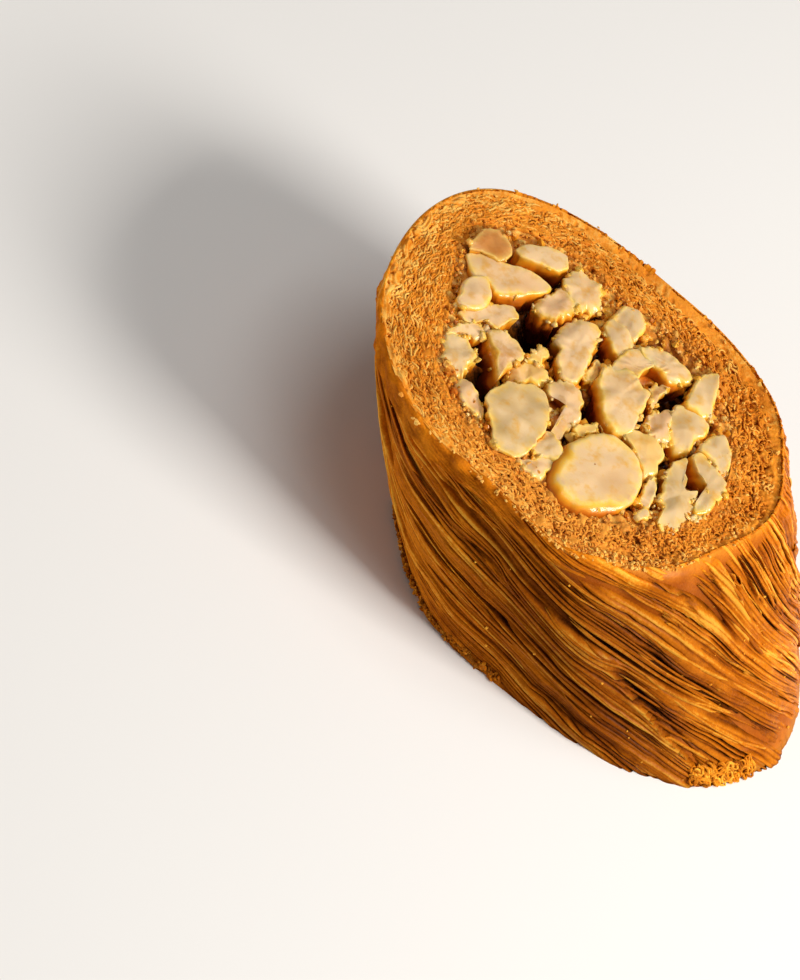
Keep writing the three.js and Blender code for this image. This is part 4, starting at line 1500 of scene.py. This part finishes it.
def sunflower_chunk(index, draw):
    """One chunk: its place comes from the golden turn and a root, its corners from a rough circle."""
    turn = index * GOLDEN_TURN
    share = 0.86 * math.sqrt((index + 0.5) / LOWER_NUTS) * filling_share(turn)
    centre = roll_point(np.array(turn), share, 0.0)[:2]
    count = draw.integers(5, 9)
    around = TAU * (np.arange(count) + draw.uniform(-0.25, 0.25, count)) / count
    radius = draw.uniform(1.9, 3.1) * MM * draw.uniform(0.7, 1.15, count)
    stretch = np.array([draw.uniform(0.75, 1.3), 1.0])
    corners = centre + stretch * radius[:, None] * np.stack([np.cos(around), np.sin(around)], 1)
    outline = smooth_outline(corners, draw.uniform(0.4, 1))
    deep, edge, ragged = draw.uniform(3.5, 6), draw.uniform(0.25, 0.5), draw.uniform(0, 0.5)
    points, drop = nut_points(outline, 0.0, -1, deep, edge, ragged, np.zeros(2), 1900 + 10 * index)
    points[..., 2] = np.maximum(points[..., 2], 0.02 * MM)
    return points, drop, draw.uniform(0.1, 0.8), draw.uniform(0, 0.5), 0.0


draw = np.random.default_rng(61)
points, faces, values = nut_mesh([sunflower_chunk(index, draw) for index in range(LOWER_NUTS)], -1)
make_piece("lower_nuts", points, faces, NUT, "nuts", "nut_filling", **values)

# %% [markdown]
# ## Crumbs
# Cutting leaves crumbs everywhere: chopped nut dust between the chunks, pastry crumbs where the
# filling meets the ring and on the lip, and specks stuck to the syrup on the wall. Each crumb is a
# rough ball of a few dozen faces, turned and stretched at random.

# %% Crumbs
# how many of each kind are drawn
NUT_CRUMBS = 1700
NUT_BITS = 520
RING_CRUMBS = 1500
RIM_CRUMBS = 320
WALL_SPECKS = 420
# no crumbs lie where a hollow is deeper than this, in mm
OPEN_DEPTH = 2.5


def crumb_ball(columns, rows):
    """Directions of a ball of rings with two poles, and its faces."""
    theta = math.pi * (np.arange(rows) + 0.5) / rows
    phi = TAU * np.arange(columns) / columns
    ball = np.stack([np.outer(np.sin(theta), np.cos(phi)), np.outer(np.sin(theta), np.sin(phi)),
                     np.outer(np.cos(theta), np.ones(columns))], -1).reshape(-1, 3)
    return np.concatenate([ball, [[0, 0, 1], [0, 0, -1]]]), disc_faces(rows, columns)


def crumb_mesh(centres, sizes, seed, columns, rows):
    """Rough balls at the centres, stretched along random axes, and pushed about."""
    draw = np.random.default_rng(seed)
    count = len(centres)
    ball, ball_faces = crumb_ball(columns, rows)
    axes = np.linalg.qr(draw.normal(size=(count, 3, 3)))[0]
    axes *= np.linalg.det(axes)[:, None, None]
    stretch = draw.uniform(0.45, 1.3, (count, 1, 3))
    rough = draw.uniform(0.6, 1.2, (count, len(ball), 1))
    points = (ball * rough * stretch * sizes[:, None, None]) @ axes + centres[:, None, :]
    base = np.arange(count)[:, None, None] * len(ball)
    faces = [(base + part).reshape(-1, part.shape[1]) for part in ball_faces]
    return points.reshape(-1, 3), faces, len(ball)


def crumbs_piece(name, centres, sizes, material, slot, replaced, seed, shape=(6, 4), **ranges):
    """Crumbs with a value of their own for each attribute, drawn between the two given limits."""
    points, faces, each = crumb_mesh(centres, sizes, seed, *shape)
    points[:, 2] = np.clip(points[:, 2], 0, HIGHEST)
    draw = np.random.default_rng(seed + 1)
    values = {key: np.repeat(draw.uniform(*limits, len(centres)), each)
              for key, limits in ranges.items()}
    make_piece(name, points, faces, material, slot, replaced, smooth=shape[0] > 6, **values)


def scattered_on_bed(draw, count, inner, outer):
    """Places on the upper bed between two parts of the filling, and the bed's depth there in mm."""
    angle = draw.uniform(0, TAU, count)
    part = np.sqrt(draw.uniform(inner**2, outer**2, count))
    points = roll_point(angle, part * filling_share(angle), 1.0)
    depth = bed_depth(points, smoothstep(part, 0.7, 0.9))
    open_bed = hollow_depth(points) < OPEN_DEPTH
    return points[open_bed], depth[open_bed]


draw = np.random.default_rng(71)
places, depth = scattered_on_bed(draw, NUT_CRUMBS, 0.0, 0.95)
places[:, 2] -= (depth - draw.uniform(-0.1, 0.5, len(depth))) * MM
crumbs_piece("nut_crumbs", places, draw.gamma(5.0, 0.06, len(places)) * MM, NUT, "nuts", "nut_filling", 72,
             tone=(0.6, 0.95), depth=(0.0, 0.4), skin=(0.0, 0.5), rim=(0.0, 1.0))

places = np.concatenate(nibs)
places[:, 2] -= draw.uniform(0.1, 0.35, len(places)) * MM
crumbs_piece("nut_nibs", places, draw.uniform(0.22, 0.6, len(places)) * MM, NUT, "nuts", "nut_filling", 84,
             shape=(10, 7), tone=(0.45, 0.85), depth=(0.0, 0.16), skin=(0.0, 0.2), rim=(0.3, 1.0))

places, depth = scattered_on_bed(draw, NUT_BITS, 0.0, 0.9)
places[:, 2] -= draw.uniform(0.9, 2.2, len(depth)) * MM
crumbs_piece("nut_bits", places, draw.uniform(0.45, 1.0, len(places)) * MM, NUT, "nuts", "nut_filling", 82,
             shape=(12, 8), tone=(0.6, 0.9), depth=(0.05, 0.3), skin=(0.0, 0.3), rim=(0.3, 1.0))

angle = draw.uniform(0, TAU, RING_CRUMBS)
share = filling_share(angle) + draw.normal(-0.01, 0.045, RING_CRUMBS)
places = roll_point(angle, share, 1.0)
places[:, 2] -= draw.uniform(0.25, 0.6, RING_CRUMBS) * MM
crumbs_piece("ring_crumbs", places, draw.uniform(0.14, 0.36, RING_CRUMBS) * MM, RING,
             "pastry", "kataifi_pastry", 74, crest=(0.45, 0.95), tone=(0.0, 0.8), tip=(0.0, 0.35))

angle = random_places(draw, RIM_CRUMBS, lambda a: 0.03 + 0.97 * near(a, 305, 22))
reach = np.hypot(*rim(UPPER, angle))
places = roll_point(angle, 1 - draw.uniform(0.3, 1.9, len(angle)) * MM / reach, 1.0)
places[:, 2] -= draw.uniform(0.0, 0.25, len(angle)) * MM
crumbs_piece("rim_crumbs", places, draw.uniform(0.12, 0.34, len(angle)) * MM, RING,
             "pastry", "kataifi_pastry", 75, crest=(0.6, 1.0), tone=(0.3, 1.0), tip=(0.1, 0.9))

# %% [markdown]
# ## Specks on the wall and the frayed foot
# Pale specks stick to the wall, the torn foot at the left is a line of crumbs, and at the lower
# right a tuft of loose strand ends curls out where the foot has frayed.

# %% Specks and fray
# between which angles, and how many crumbs or strand ends
TORN_FOOT = (np.radians([212, 268]), 420)
FRAYED_FOOT = (np.radians([322, 343]), 110)


def on_wall(wound, level, out):
    """Places on the strands, a little out from the skin."""
    height, _, _ = wall_relief(wound, level)
    return roll_point(strand_angle(wound, level), 1, level, belly(level) + height + out * MM)


wound = draw.uniform(0, ROUND, WALL_SPECKS)
level = draw.uniform(0.03, 0.87, WALL_SPECKS)
crumbs_piece("wall_specks", on_wall(wound, level, 0.02), draw.uniform(0.07, 0.2, WALL_SPECKS) * MM, WALL,
             "pastry", "kataifi_pastry", 76, crest=(0.7, 1.0), tone=(0.5, 1.0), tip=(0.1, 0.9))

(low, high), count = TORN_FOOT
angle = draw.uniform(low, high, count)
level = draw.uniform(0.0, 0.04, count) + 0.02 * np.sin(40 * angle) ** 2
places = roll_point(angle, 1, level, draw.uniform(-0.6, -0.1, count) * MM)
crumbs_piece("torn_foot_crumbs", places, draw.uniform(0.15, 0.4, count) * MM, WALL,
             "pastry", "kataifi_pastry", 78,
             crest=(0.35, 0.85), tone=(0.2, 0.8), tip=(0.0, 0.25), bake=(0.2, 0.8))

(low, high), count = FRAYED_FOOT
angle = draw.uniform(low, high, count)[:, None]
level = draw.uniform(0.01, 0.09, count)[:, None]
t = np.linspace(-1, 1, CURL_STEPS)[None, :]
start = draw.uniform(0, TAU, (count, 1))
swing = draw.uniform(1.0, 2.6, (count, 1))
radius = draw.uniform(0.3, 0.75, (count, 1)) * MM
turned = angle + radius * np.cos(start + swing * t) / LOWER["long"]
risen = np.maximum(level + radius * np.sin(start + swing * t) / HEIGHT, 0.008)
path = roll_point(turned, 1, risen, (0.1 - 0.35 * t**2) * MM)
outward = roll_point(turned, 1, risen, 2 * MM) - roll_point(turned, 1, risen, 0.0)
outward /= np.linalg.norm(outward, axis=2, keepdims=True)
width = draw.uniform(0.26, 0.42, (count, 1)) * MM + 0 * t
points, faces = tubes(path, outward, width, width * 0.85, CURL_SIDES)
off_floor(points)
make_piece("frayed_foot", points, faces, WALL, "pastry", "kataifi_pastry",
           crest=spread(draw.uniform(0.35, 0.85, count), CURL_STEPS, CURL_SIDES),
           tone=spread(draw.uniform(0.4, 1, count), CURL_STEPS, CURL_SIDES),
           tip=spread(draw.uniform(0, 0.2, count), CURL_STEPS, CURL_SIDES))
